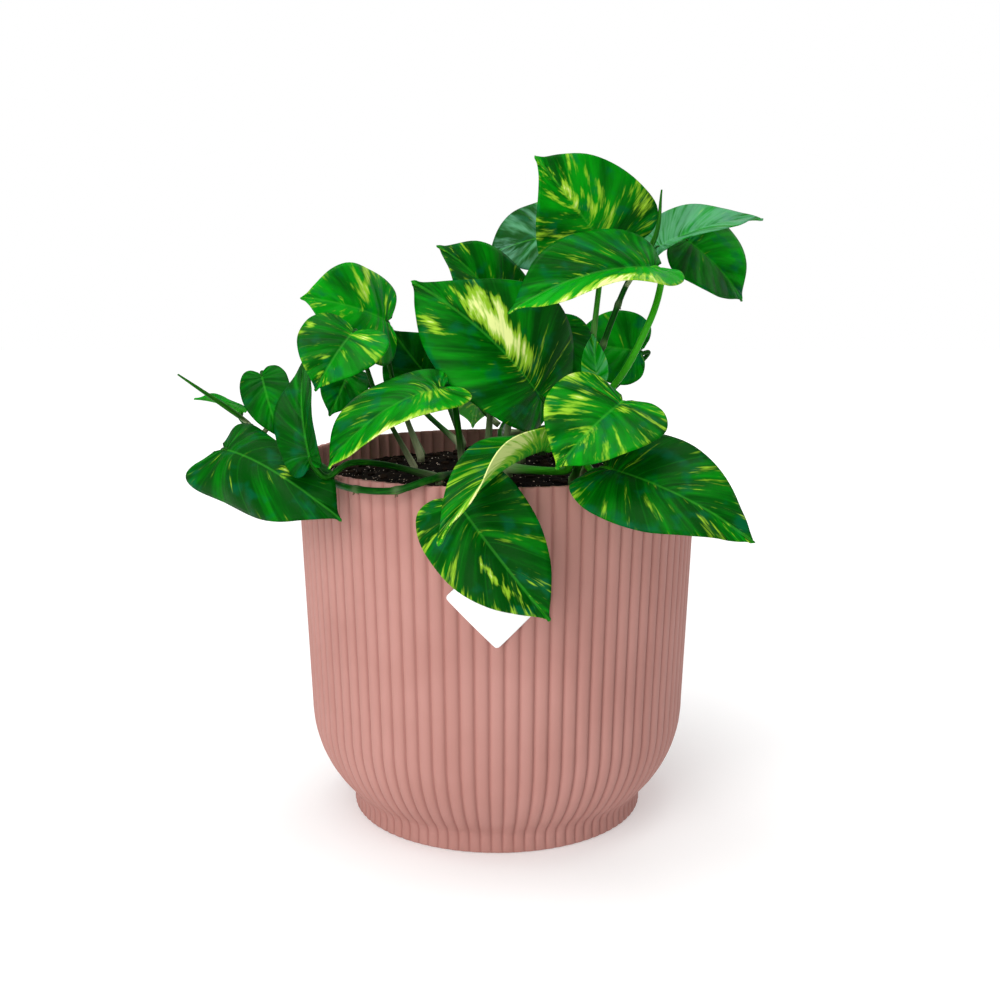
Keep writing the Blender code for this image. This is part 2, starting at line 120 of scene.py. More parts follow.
level.inputs["To Max"].default_value = ROOM_SEEN
wiring.links.new(seen.outputs["Is Camera Ray"], level.inputs["Value"])
wiring.links.new(level.outputs[0], backdrop.inputs["Strength"])
scene.world = surroundings

floor_mesh = bpy.data.meshes.new("floor")
floor_shape = bmesh.new()
bmesh.ops.create_grid(floor_shape, x_segments=8, y_segments=8, size=FLOOR_HALF)
floor_shape.to_mesh(floor_mesh)
floor_shape.free()
floor = bpy.data.objects.new("floor", floor_mesh)
floor.location.z = -FLOOR_BELOW_FOOT
scene.collection.objects.link(floor)
floor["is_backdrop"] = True
print("floor half width:", FLOOR_HALF, "room light:", ROOM_LIGHT)

# %% [markdown]
# ## The lamps
# One large soft lamp from the front left models the pot's roundness, and a broad one
# overhead gives the waxy leaves their sheen. A weak one behind keeps the far side of the
# pot from going dull. Lamps of area type keep all shadow edges soft; a point or a sun lamp
# would draw hard leaf shadows on the pot.
# %% Lamps
def lamp(name, place, target, size, power):
    """A square soft lamp that faces a point."""
    light = bpy.data.lights.new(name, "AREA")
    light.size = size
    light.energy = power
    holder = bpy.data.objects.new(name, light)
    holder.location = place
    aim = Vector(target) - Vector(place)
    holder.rotation_euler = aim.to_track_quat("-Z", "Y").to_euler()
    scene.collection.objects.link(holder)
    return holder


MIDDLE = (0.0, 0.0, 0.17)     # where the lamps aim: just over the rim
lamp("key", (-0.58, -1.11, 0.60), MIDDLE, 1.00, 12.5)
lamp("overhead", (-0.15, -0.10, 1.20), MIDDLE, 0.90, 10.0)
lamp("back fill", (0.75, 0.95, 0.60), MIDDLE, 1.20, 4.0)

# %% [markdown]
# ## Helpers for finishes
# Each finish is one Principled shader fed by pattern nodes, so colour, roughness and relief
# all vary. A short helper adds a node, sets its constants and links its inputs in one line,
# which keeps every recipe below readable from top to bottom.
# %% Finish helpers
def start_finish(name):
    """A new material, its node tree and its Principled shader."""
    made = bpy.data.materials.new(name)
    made.use_nodes = True
    tree = made.node_tree
    return made, tree, tree.nodes["Principled BSDF"]


def add(tree, kind, inputs=None, **settings):
    """Add a node, set its settings, and fill each input with a value or a link."""
    made = tree.nodes.new(kind)
    for name, value in settings.items():
        setattr(made, name, value)
    for name, value in (inputs or {}).items():
        if isinstance(value, bpy.types.NodeSocket):
            tree.links.new(value, made.inputs[name])
        else:
            made.inputs[name].default_value = value
    return made


def maths(tree, operation, first, second=0.0):
    """One step of arithmetic on values or links."""
    return add(tree, "ShaderNodeMath", {0: first, 1: second}, operation=operation).outputs[0]


def plus(tree, first, second):
    return maths(tree, "ADD", first, second)


def times(tree, first, second):
    return maths(tree, "MULTIPLY", first, second)


def swing(tree, value, reach):
    """A value that lies round 0.5, as one that lies round 0 and is reach wide."""
    return times(tree, maths(tree, "SUBTRACT", value, 0.5), reach)


def span(tree, value, low, high, start=0.0, stop=1.0):
    """Map a value from low..high to start..stop, with soft ends and clamped."""
    return add(tree, "ShaderNodeMapRange",
               {"Value": value, "From Min": low, "From Max": high, "To Min": start, "To Max": stop},
               interpolation_type="SMOOTHSTEP").outputs[0]


def tint(tree, share, first, second):
    """Mix two colours, each a colour or a link, by a share."""
    return add(tree, "ShaderNodeMix", {0: share, 6: first, 7: second}, data_type="RGBA").outputs[2]


def grain(tree, where, scale, detail=3.0, rough=0.5, squeeze=(1.0, 1.0, 1.0)):
    """Noise, finer or longer along each axis as squeeze says. Returns a value from 0 to 1."""
    placed = add(tree, "ShaderNodeMapping", {"Vector": where, "Scale": squeeze})
    return add(tree, "ShaderNodeTexNoise",
               {"Vector": placed.outputs[0], "Scale": scale, "Detail": detail,
                "Roughness": rough}).outputs["Fac"]


def number(tree, name):
    """A number that the mesh keeps at each of its points."""
    return add(tree, "ShaderNodeAttribute", attribute_name=name).outputs["Fac"]


def flat_map(tree, name):
    """One of the mesh's flat maps, as a place to read patterns at."""
    return add(tree, "ShaderNodeUVMap", uv_map=name).outputs[0]


def shape_place(tree):
    """The place on the piece, in metres."""
    return add(tree, "ShaderNodeTexCoord").outputs["Object"]


def relief(tree, shader, height, depth, strength):
    """Let a height, from 0 to 1, raise the surface by up to a depth in metres."""
    bump = add(tree, "ShaderNodeBump", {"Height": height, "Distance": depth, "Strength": strength})
    tree.links.new(bump.outputs["Normal"], shader.inputs["Normal"])


def feed(tree, shader, **links):
    """Link values to the shader's inputs; underscores stand for spaces."""
    for name, value in links.items():
        socket = shader.inputs[name.replace("_", " ")]
        if isinstance(value, bpy.types.NodeSocket):
            tree.links.new(value, socket)
        else:
            socket.default_value = value


print("finish helpers ready")

# %% [markdown]
# ## Floor finish
# The floor is given painted light: it glows, though it is no lamp, so it meets the white
# room without a line. Its glow is weaker near the plant, which keeps a soft pale shadow
# there. A faint mottling keeps it from looking like a sheet of paint.
# %% Floor finish
BOARD_PALE = (0.76, 0.76, 0.76, 1.0)
BOARD_DULL = (0.72, 0.72, 0.72, 1.0)
GLOW_FROM, GLOW_TO = 0.30, 1.10       # metres from the plant over which the glow grows
GLOW_NEAR, GLOW_FAR = 0.30, 0.72
board, tree, shader = start_finish("glowing_floor")
room = shape_place(tree)
mottle = grain(tree, room, 3.0)
feed(tree, shader, Base_Color=tint(tree, mottle, BOARD_DULL, BOARD_PALE),
     Roughness=span(tree, mottle, 0.2, 0.8, 0.7, 0.85))
shader.inputs["Specular IOR Level"].default_value = 0.1
# Painted light: the floor glows though it is no lamp, less near the plant.
shader.inputs["Emission Color"].default_value = WHITE
away = add(tree, "ShaderNodeVectorMath", {0: room}, operation="LENGTH").outputs["Value"]
feed(tree, shader, Emission_Strength=span(tree, away, GLOW_FROM, GLOW_TO, GLOW_NEAR, GLOW_FAR))
floor.data.materials.append(board)
print("floor:", board.name)

# %% [markdown]
# ## Placing a piece
# Every fine piece stands for one or more solids of the fixed model. The helper links it,
# gives it its finishes, lets it ride on the model and hides the solids that it stands for.
# %% Piece helper
def place_piece(name, mesh, slot, finishes, *nodes):
    """Make an object of a mesh, ride it on the root body and let it replace CAD nodes."""
    piece = bpy.data.objects.new(name, mesh)
    scene.collection.objects.link(piece)
    for finish in finishes:
        mesh.materials.append(finish)
    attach(piece, "root")
    if nodes:
        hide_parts(*nodes)
    return piece


def mesh_of(name, places, faces):
    """A smooth-shaded mesh from points and faces."""
    mesh = bpy.data.meshes.new(name)
    mesh.from_pydata([tuple(place) for place in places], [], faces)
    mesh.shade_smooth()
    return mesh


print("piece helper ready")

# %% [markdown]
# ## The pot
# The pot is thin moulded plastic: a nearly straight wall that leans out a little, a rounded
# bowl below the waist and a narrower foot, all pressed into fine rounded reeds. It could be
# a smooth cup with the reeds as relief only, but the rim and the outline show the reeds,
# so every one is modelled. One ring of points is laid per level, and each point is pulled in
# by how far it sits from its reed's crest.
# %% The pot's profile
WAIST_RADIUS = 0.0854
WAIST_HEIGHT = 0.050
FOOT_RADIUS = 0.0668
FOOT_HEIGHT = 0.0095
FOOT_LEDGE = 0.0003
FOOT_EDGE = 0.0012
FOOT_BLEND = 0.0028           # half the stretch over which the bowl runs into the foot
FOOT_BLEND_TOP = 0.0150
POT_WALL = 0.0020
REED_COUNT = 88
REED_DEPTH = 0.0014
REED_POINTS = 10
RIM_ROUND = 0.0005
HUB = 0.001                   # the small middle ring that closes each floor
FLOOR_RING = 0.030
INSIDE_FOOT = 0.014           # where the inner wall starts over the floor
INSIDE_REED = 0.7             # how far the reeds show on the inside


def bowl_radius(height, inset=0.0):
    """The bowl's arc, upright at the waist and ending at the foot's ledge."""
    across = WAIST_RADIUS - FOOT_RADIUS - FOOT_LEDGE
    down = WAIST_HEIGHT - FOOT_HEIGHT
    curve = (across ** 2 + down ** 2) / (2 * across)
    drop = WAIST_HEIGHT - height
    return WAIST_RADIUS - curve + math.sqrt((curve - inset) ** 2 - drop ** 2)


def wall_radius(height):
    """Outer radius at any height: the straight wall over the waist, the bowl under it."""
    if height < WAIST_HEIGHT:
        return bowl_radius(max(height, FOOT_HEIGHT))
    share = (height - WAIST_HEIGHT) / (RIM_HEIGHT - WAIST_HEIGHT)
    return WAIST_RADIUS + (RIM_RADIUS - WAIST_RADIUS) * share


def blended_radius(height):
    """The outline where the bowl runs into the foot, as a mean over a short stretch."""
    reach = FOOT_BLEND * min(1.0, (FOOT_BLEND_TOP - height) / FOOT_BLEND)
    levels = [height + reach * step / 6 for step in range(-6, 7)]
    return sum(wall_radius(z) if z > FOOT_HEIGHT else FOOT_RADIUS for z in levels) / len(levels)


def steps(start, stop, count):
    """Even steps from start to stop, without start itself."""
    return [start + (stop - start) * step / count for step in range(1, count + 1)]


def inner_profile():
    """Rings of (radius, height, reed share) from the inside floor up to the rim's top."""
    rings = [(HUB, POT_WALL, 0.0), (FLOOR_RING, POT_WALL, 0.0), (FOOT_RADIUS - 0.004, POT_WALL, 0.0)]
    levels = [INSIDE_FOOT, *steps(INSIDE_FOOT, WAIST_HEIGHT, 6)]
    levels += steps(WAIST_HEIGHT, RIM_HEIGHT - 0.002, 6)
    rings += [(wall_radius(z) - POT_WALL, z, INSIDE_REED) for z in levels]
    rings.append((RIM_RADIUS - POT_WALL, RIM_HEIGHT - RIM_ROUND, INSIDE_REED))
    rings.append((RIM_RADIUS - POT_WALL + RIM_ROUND * 0.6, RIM_HEIGHT - RIM_ROUND * 0.2, 0.8))
    rings.append((RIM_RADIUS - POT_WALL / 2, RIM_HEIGHT, 0.85))
    return rings


def outer_profile():
    """The same from the rim down the outside to the middle of the underside."""
    rings = [(RIM_RADIUS - RIM_ROUND * 0.5, RIM_HEIGHT - RIM_ROUND * 0.2, 1.0)]
    rings.append((RIM_RADIUS, RIM_HEIGHT - RIM_ROUND, 1.0))
    levels = steps(RIM_HEIGHT, WAIST_HEIGHT, 8) + steps(WAIST_HEIGHT, FOOT_BLEND_TOP, 12)
    rings += [(wall_radius(z), z, 1.0) for z in levels]
    rings += [(blended_radius(z), z, 0.35 + 0.65 * z / FOOT_BLEND_TOP)
              for z in steps(FOOT_BLEND_TOP, 0.003, 14)]
    rings.append((FOOT_RADIUS, FOOT_EDGE, 0.25))
    rings.append((FOOT_RADIUS - FOOT_EDGE * 0.3, FOOT_EDGE * 0.3, 0.3))
    underside = (FOOT_RADIUS - FOOT_EDGE, FOOT_RADIUS - 0.008, FLOOR_RING, HUB)
    rings += [(radius, 0.0, 0.0) for radius in underside]
    return rings


pot_profile = inner_profile() + outer_profile()
print("pot rings:", len(pot_profile))

# %% [markdown]
# ## Pressing the reeds
# A reed's section is a shallow round hump with a narrow crease on each side, not a wave.
# The crease comes from raising the distance to the crest to a power before it pulls the
# point in. The points crowd towards the creases, so the creases stay sharp in the mesh.
# %% Build the pot
CREASE_CROWDING = 0.7         # below 1, the points crowd towards the creases
CREASE_SHARPNESS = 2.6        # the higher, the narrower the crease


def reed_angles():
    """Angles round the pot, closer together near each crease, and each one's depth share."""
    turns = []
    for reed in range(REED_COUNT):
        for step in range(REED_POINTS):
            even = step / REED_POINTS * 2.0 - 1.0
            eased = math.copysign(abs(even) ** CREASE_CROWDING, even)
            angle = (reed + eased / 2) / REED_COUNT * math.tau
            turns.append((angle, abs(eased) ** CREASE_SHARPNESS))
    return turns


def ringed_mesh(name, profile, turns, depth):
    """Turn a profile through the angles, pulling each point in by its crease share."""
    places, faces = [], []
    for radius, height, reeded in profile:
        for angle, crease in turns:
            reach = radius - depth * reeded * crease
            places.append((reach * math.cos(angle), reach * math.sin(angle), height))
    count = len(turns)
    for ring in range(len(profile) - 1):
        for step in range(count):
            near, far = ring * count + step, ring * count + (step + 1) % count
            faces.append((near, far, far + count, near + count))
    last = (len(profile) - 1) * count
    faces.append(tuple(reversed(range(count))))
    faces.append(tuple(range(last, last + count)))
    return mesh_of(name, places, faces)


pot_mesh = ringed_mesh("pot", pot_profile, reed_angles(), REED_DEPTH)
shape = bmesh.new()
shape.from_mesh(pot_mesh)
bmesh.ops.recalc_face_normals(shape, faces=shape.faces)
print("pot plastic:", round(shape.calc_volume() * 1e6, 1), "cubic centimetres in",
      len(shape.faces), "faces")
shape.to_mesh(pot_mesh)
shape.free()

# %% [markdown]
# ## Blush plastic
# The plastic is matt and coloured through. Its life comes from small things: a slow drift
# of the colour, a fine moulded grain, painted shade in the creases between the reeds, and
# flow marks that run up the wall. The grain also varies the roughness.
# %% Pot finish and piece
BLUSH = (0.408, 0.198, 0.170, 1.0)
PALE_BLUSH = (0.450, 0.226, 0.196, 1.0)
FLOW_MARK = (0.376, 0.172, 0.144, 1.0)
PAINTED_CREASE_SHADE = (0.22, 0.070, 0.055, 1.0)
blush, tree, shader = start_finish("blush_plastic")
place = shape_place(tree)
drift = grain(tree, place, 22.0, 3.0)
flow = grain(tree, place, 60.0, 2.0, 0.5, (1.0, 1.0, 0.06))
skin = grain(tree, place, 1400.0, 2.0, 0.6)
axes = add(tree, "ShaderNodeSeparateXYZ", {0: place})
angle = maths(tree, "ARCTAN2", axes.outputs["Y"], axes.outputs["X"])
crest = maths(tree, "ABSOLUTE", maths(tree, "COSINE", times(tree, angle, REED_COUNT / 2.0)))
body = tint(tree, span(tree, drift, 0.3, 0.7), BLUSH, PALE_BLUSH)
body = tint(tree, span(tree, flow, 0.4, 0.75, 0.0, 0.35), body, FLOW_MARK)
# Painted shade: the creases between the reeds are darkened in the colour.
body = tint(tree, span(tree, crest, 0.0, 0.50, 0.38, 0.0), body, PAINTED_CREASE_SHADE)
feed(tree, shader, Base_Color=body, Roughness=span(tree, skin, 0.2, 0.8, 0.50, 0.66))
shader.inputs["Specular IOR Level"].default_value = 0.12
relief(tree, shader, skin, 0.00006, 0.6)
pot = place_piece("pot_reeded", pot_mesh, "pot", [blush], "pot")
print("pot placed:", pot.name)

# %% [markdown]
# ## The label
# A small square sticker stands on one corner on the front of the wall and follows its
# curve and its lean. It is left blank. A sheet with a bevelled outline would do, but the
# paper has to bend with the wall, so it is laid as a fine grid. Its corners are rounded,
# and it is wrapped round the wall by turning sideways distance into an angle.
# %% Label shape
LABEL_SIDE = 0.0295
LABEL_BELOW_RIM = 0.0446
LABEL_THICKNESS = 0.0004
LABEL_CELLS = 24
CORNER_ROUND = 0.0016
LABEL_GAP = 0.0003
EDGE_CROWDING = 0.85          # below 1, the grid's lines crowd towards the edges
label_middle = RIM_HEIGHT - LABEL_BELOW_RIM


def rounded_square(u, v, half, corner):
    """Move a point of a square onto one with rounded corners."""
    x, y = u * half, v * half
    inner = half - corner
    if abs(x) > inner and abs(y) > inner:
        dx, dy = abs(x) - inner, abs(y) - inner
        reach = max(dx, dy)
        length = math.hypot(dx, dy)
        x = math.copysign(inner + dx / length * reach, x)
        y = math.copysign(inner + dy / length * reach, y)
    return x, y


places, faces = [], []
for row in range(LABEL_CELLS + 1):
    for column in range(LABEL_CELLS + 1):
        u, v = 2 * column / LABEL_CELLS - 1, 2 * row / LABEL_CELLS - 1
        u = math.copysign(abs(u) ** EDGE_CROWDING, u)
        v = math.copysign(abs(v) ** EDGE_CROWDING, v)
        x, y = rounded_square(u, v, LABEL_SIDE / 2, CORNER_ROUND)
        across, upward = (x - y) / math.sqrt(2.0), (x + y) / math.sqrt(2.0)
        radius = wall_radius(label_middle + upward) + LABEL_GAP + LABEL_THICKNESS
        turn = across / radius
        places.append((radius * math.sin(turn), -radius * math.cos(turn), label_middle + upward))
for row in range(LABEL_CELLS):
    for column in range(LABEL_CELLS):
        corner = row * (LABEL_CELLS + 1) + column
        faces.append((corner, corner + 1, corner + LABEL_CELLS + 2, corner + LABEL_CELLS + 1))
label_mesh = mesh_of("label", places, faces)
print("label:", round(LABEL_SIDE * 1000, 1), "mm square on its corner")

# %% [markdown]
# ## Sticker paper
# Coated paper is white with a faint cloudiness, and its fibres vary the shine a little. A
# Solidify modifier gives the sheet its thickness, towards the wall.
# %% Label finish and piece
PAPER_WHITE = (0.96, 0.955, 0.95, 1.0)
PAPER_WARM = (0.90, 0.895, 0.885, 1.0)
paper, tree, shader = start_finish("white_sticker")
place = shape_place(tree)
fibre = grain(tree, place, 900.0, 4.0, 0.6)
cloud = grain(tree, place, 60.0, 2.0)
feed(tree, shader, Base_Color=tint(tree, cloud, PAPER_WARM, PAPER_WHITE),
     Roughness=span(tree, fibre, 0.2, 0.8, 0.42, 0.55))
relief(tree, shader, fibre, 0.00003, 0.5)
label = place_piece("label_blank", label_mesh, "label", [paper], "label")
skin = label.modifiers.new("paper", "SOLIDIFY")
skin.thickness = LABEL_THICKNESS
skin.offset = -1.0
print("label placed:", label.name)

# %% [markdown]
# ## The soil
# Moist potting soil is nearly black and crumbly. One cheap way is a flat disc with a
# picture of soil; here the surface itself is lumpy: noise at two sizes raises a round
# sheet of rings, which falls from a low mound at the stems to the wall. A deep skirt
# closes it below, where the pot hides it.
# %% Soil surface
SOIL_BELOW_RIM = 0.0110
MOUND_HEIGHT = 0.0120
POT_INSIDE = 0.0037           # from the outside of the wall to the soil's edge
SOIL_RINGS = 70
SOIL_SPOKES = 220
CRUMB_HEIGHT = 0.0009
LUMPS_PER_METRE = (260, 700, 1600)    # large, middle and small crumbs
SKIRT_DEPTH = 0.012
SKIRT_TAPER = 0.985


def soil_height(x, y):
    """Height of the soil's even surface under a point."""
    share = min(math.hypot(x, y) / RIM_RADIUS, 1.0)
    return RIM_HEIGHT - SOIL_BELOW_RIM + MOUND_HEIGHT * (1.0 + math.cos(math.pi * share)) / 2.0


def crumbs(x, y):
    """Height of the lumps over the even surface."""
    coarse, fine, tiny = (noise.noise(Vector((x * lumps, y * lumps, layer)))
                          for lumps, layer in zip(LUMPS_PER_METRE, (1.0, 5.0, 9.0)))
    return CRUMB_HEIGHT * (0.7 * coarse + 0.45 * abs(fine) + 0.3 * tiny) - CRUMB_HEIGHT * 0.6


soil_edge = wall_radius(RIM_HEIGHT - SOIL_BELOW_RIM) - POT_INSIDE
places, faces = [(0.0, 0.0, soil_height(0.0, 0.0))], []
for ring in range(1, SOIL_RINGS + 1):
    for spoke in range(SOIL_SPOKES):
        turn = (spoke + 0.5 * (ring % 2)) / SOIL_SPOKES * math.tau
        reach = soil_edge * ring / SOIL_RINGS
        x, y = reach * math.cos(turn), reach * math.sin(turn)
        places.append((x, y, soil_height(x, y) + crumbs(x, y)))
for spoke in range(SOIL_SPOKES):
    faces.append((0, 1 + spoke, 1 + (spoke + 1) % SOIL_SPOKES))
for ring in range(SOIL_RINGS - 1):
    for spoke in range(SOIL_SPOKES):
        near = 1 + ring * SOIL_SPOKES + spoke
        far = 1 + ring * SOIL_SPOKES + (spoke + 1) % SOIL_SPOKES
        faces.append((near, near + SOIL_SPOKES, far + SOIL_SPOKES, far))
rim_start = 1 + (SOIL_RINGS - 1) * SOIL_SPOKES
skirt_start = len(places)
for spoke in range(SOIL_SPOKES):
    x, y, z = places[rim_start + spoke]
    places.append((x * SKIRT_TAPER, y * SKIRT_TAPER, RIM_HEIGHT - SOIL_BELOW_RIM - SKIRT_DEPTH))
for spoke in range(SOIL_SPOKES):
    far = (spoke + 1) % SOIL_SPOKES
    faces.append((rim_start + spoke, skirt_start + spoke, skirt_start + far, rim_start + far))
faces.append(tuple(reversed(range(skirt_start, skirt_start + SOIL_SPOKES))))
soil_mesh = mesh_of("soil", places, faces)
print("soil points:", len(places), "edge radius", round(soil_edge, 4))

# %% [markdown]
# ## Soil colour
# The colour stays near black, with brown where the peat is drier. Tiny pale specks of grit
# come from a cell pattern: only the few cells whose random value is highest turn pale.
# %% Soil finish and piece
WET_PEAT = (0.002, 0.0016, 0.0014, 1.0)
DRY_PEAT = (0.010, 0.0065, 0.0045, 1.0)
CRUMB_TOP = (0.013, 0.0085, 0.006, 1.0)
GRIT_SPECK = (0.42, 0.33, 0.25, 1.0)
peat, tree, shader = start_finish("moist_peat")
place = shape_place(tree)
damp = grain(tree, place, 90.0, 4.0, 0.6)
fine = grain(tree, place, 800.0, 5.0, 0.7)
cells = add(tree, "ShaderNodeTexVoronoi", {"Vector": place, "Scale": 900.0}, feature="F1")
chance = add(tree, "ShaderNodeSeparateColor", {0: cells.outputs["Color"]}).outputs[0]
speck = times(tree, span(tree, chance, 0.90, 0.94),
              span(tree, cells.outputs["Distance"], 0.28, 0.40, 1.0, 0.0))
body = tint(tree, span(tree, damp, 0.35, 0.7), WET_PEAT, DRY_PEAT)
body = tint(tree, span(tree, fine, 0.50, 0.80, 0.0, 0.35), body, CRUMB_TOP)
body = tint(tree, speck, body, GRIT_SPECK)
feed(tree, shader, Base_Color=body, Roughness=span(tree, fine, 0.3, 0.7, 0.75, 0.98))
shader.inputs["Specular IOR Level"].default_value = 0.03
relief(tree, shader, fine, 0.0006, 0.8)
soil = place_piece("soil_crumbs", soil_mesh, "soil", [peat], "soil")
print("soil placed:", soil.name)

# %% [markdown]
# ## Bark and grit
# Real potting soil has chips of bark and pale grains of grit lying on it. They are small
# lumps with random turns and sizes, made by squashing round balls, then joined into one
# mesh per kind so that they stay easy to handle.
# %% Loose bits on the soil
OUTER_SHARE = 0.94            # of the soil's area that bits may lie on
PERCH = 0.15                  # how far over the soil a bit's middle lies, in its own sizes


def scattered(name, count, sizes, flatness, seed):
    """One mesh of small rough lumps lying on the soil."""
    draw = random.Random(seed)
    shape = bmesh.new()
    for index in range(count):
        turn = draw.uniform(0, math.tau)
        reach = soil_edge * math.sqrt(draw.uniform(0.0, OUTER_SHARE))
        x, y = reach * math.cos(turn), reach * math.sin(turn)
        size = draw.uniform(*sizes)
        made = bmesh.ops.create_icosphere(shape, subdivisions=1, radius=size)
        squash = Matrix.Diagonal((1.0, draw.uniform(0.4, 0.9), draw.uniform(*flatness), 1.0))
        spin = Matrix.Rotation(draw.uniform(0, math.tau), 4, "Z")
        lean = Matrix.Rotation(draw.uniform(-0.4, 0.4), 4, "X")
        lie = Matrix.Translation((x, y, soil_height(x, y) + crumbs(x, y) + size * PERCH))
        for vertex in made["verts"]:
            vertex.co *= draw.uniform(0.85, 1.15)
        bmesh.ops.transform(shape, matrix=lie @ spin @ lean @ squash, verts=made["verts"])
    mesh = bpy.data.meshes.new(name)
    shape.to_mesh(mesh)
    shape.free()
    return mesh


print("bits helper ready")

# %% [markdown]
# ## Bark chips
# Chips of bark are dark brown with a stringy grain that runs one way, so the noise of the
# grain is squeezed along one axis.
# %% Bark chips
BARK_DARK = (0.004, 0.0028, 0.002, 1.0)
BARK_BROWN = (0.018, 0.011, 0.007, 1.0)
BARK_FIBRE = (0.034, 0.020, 0.013, 1.0)
bark, tree, shader = start_finish("bark_chips")
place = shape_place(tree)
shade = grain(tree, place, 120.0, 2.0)
fibre = grain(tree, place, 900.0, 4.0, 0.7, (1.0, 0.3, 1.0))
body = tint(tree, span(tree, shade, 0.3, 0.7), BARK_DARK, BARK_BROWN)
body = tint(tree, span(tree, fibre, 0.5, 0.8, 0.0, 0.5), body, BARK_FIBRE)
feed(tree, shader, Base_Color=body, Roughness=span(tree, fibre, 0.2, 0.8, 0.7, 0.95))
shader.inputs["Specular IOR Level"].default_value = 0.03
relief(tree, shader, fibre, 0.0003, 0.7)
bark_mesh = scattered("bark_bits", 420, (0.0010, 0.0026), (0.3, 0.7), 4)
place_piece("bark_bits", bark_mesh, "soil", [bark])
print("bark faces:", len(bark_mesh.polygons))

# %% [markdown]
# ## Grains of grit
# The grit is pale crushed stone. Its grains are under half a millimetre, rounder than the
# chips, and pitted.
# %% Grit
GRIT_DARK = (0.28, 0.22, 0.17, 1.0)
GRIT_PALE = (0.62, 0.55, 0.46, 1.0)
grit, tree, shader = start_finish("pale_grit")
place = shape_place(tree)
shade = grain(tree, place, 300.0, 2.0)
pit = grain(tree, place, 2500.0, 3.0)
feed(tree, shader, Base_Color=tint(tree, shade, GRIT_DARK, GRIT_PALE),
     Roughness=span(tree, pit, 0.2, 0.8, 0.6, 0.9))
relief(tree, shader, pit, 0.0001, 0.6)
grit_mesh = scattered("grit_bits", 620, (0.00016, 0.00042), (0.6, 1.0), 8)
place_piece("grit_bits", grit_mesh, "soil", [grit])
print("grit faces:", len(grit_mesh.polygons))

# %% [markdown]
# ## Places of the plant
# The plant is described as the fixed model describes it: every place is counted from the
# centre of the rim, in metres, on a pot of the first size. Such routes can't come from a
# rule, because a plant grows its own way, so they are listed one leaf at a time.
# %% Vines and leaves
FIRST_RIM = 0.0898
SPREAD = RIM_RADIUS / FIRST_RIM
# Vines, as points on their side towards the pot, from the rim's centre. The first is on the soil.
VINES = {
    "left": ((-0.008, -0.050), (-0.0155, -0.0699, 0.0008), (-0.0254, -0.0839, 0.0008),
             (-0.0391, -0.0860, -0.0032), (-0.0547, -0.0772, -0.0042), (-0.0664, -0.0610, -0.0042),
             (-0.0781, -0.0459, -0.0032), (-0.0889, -0.0322, 0.0008), (-0.0989, -0.0215, 0.0068),
             (-0.1068, -0.0137, 0.0128)),
    "up": ((0.020, -0.006), (0.0278, -0.0056, 0.0158), (0.0398, -0.0076, 0.0348),
           (0.0488, -0.0038, 0.0578), (0.0558, 0.0019, 0.0738), (0.0628, 0.0058, 0.0838)),
    "back": ((0.002, 0.026), (0.0019, 0.0418, 0.0028), (0.0058, 0.0638, 0.0058),
             (0.0136, 0.0838, 0.0033), (0.0215, 0.0959, -0.0102), (0.0255, 0.0989, -0.0282)),
}

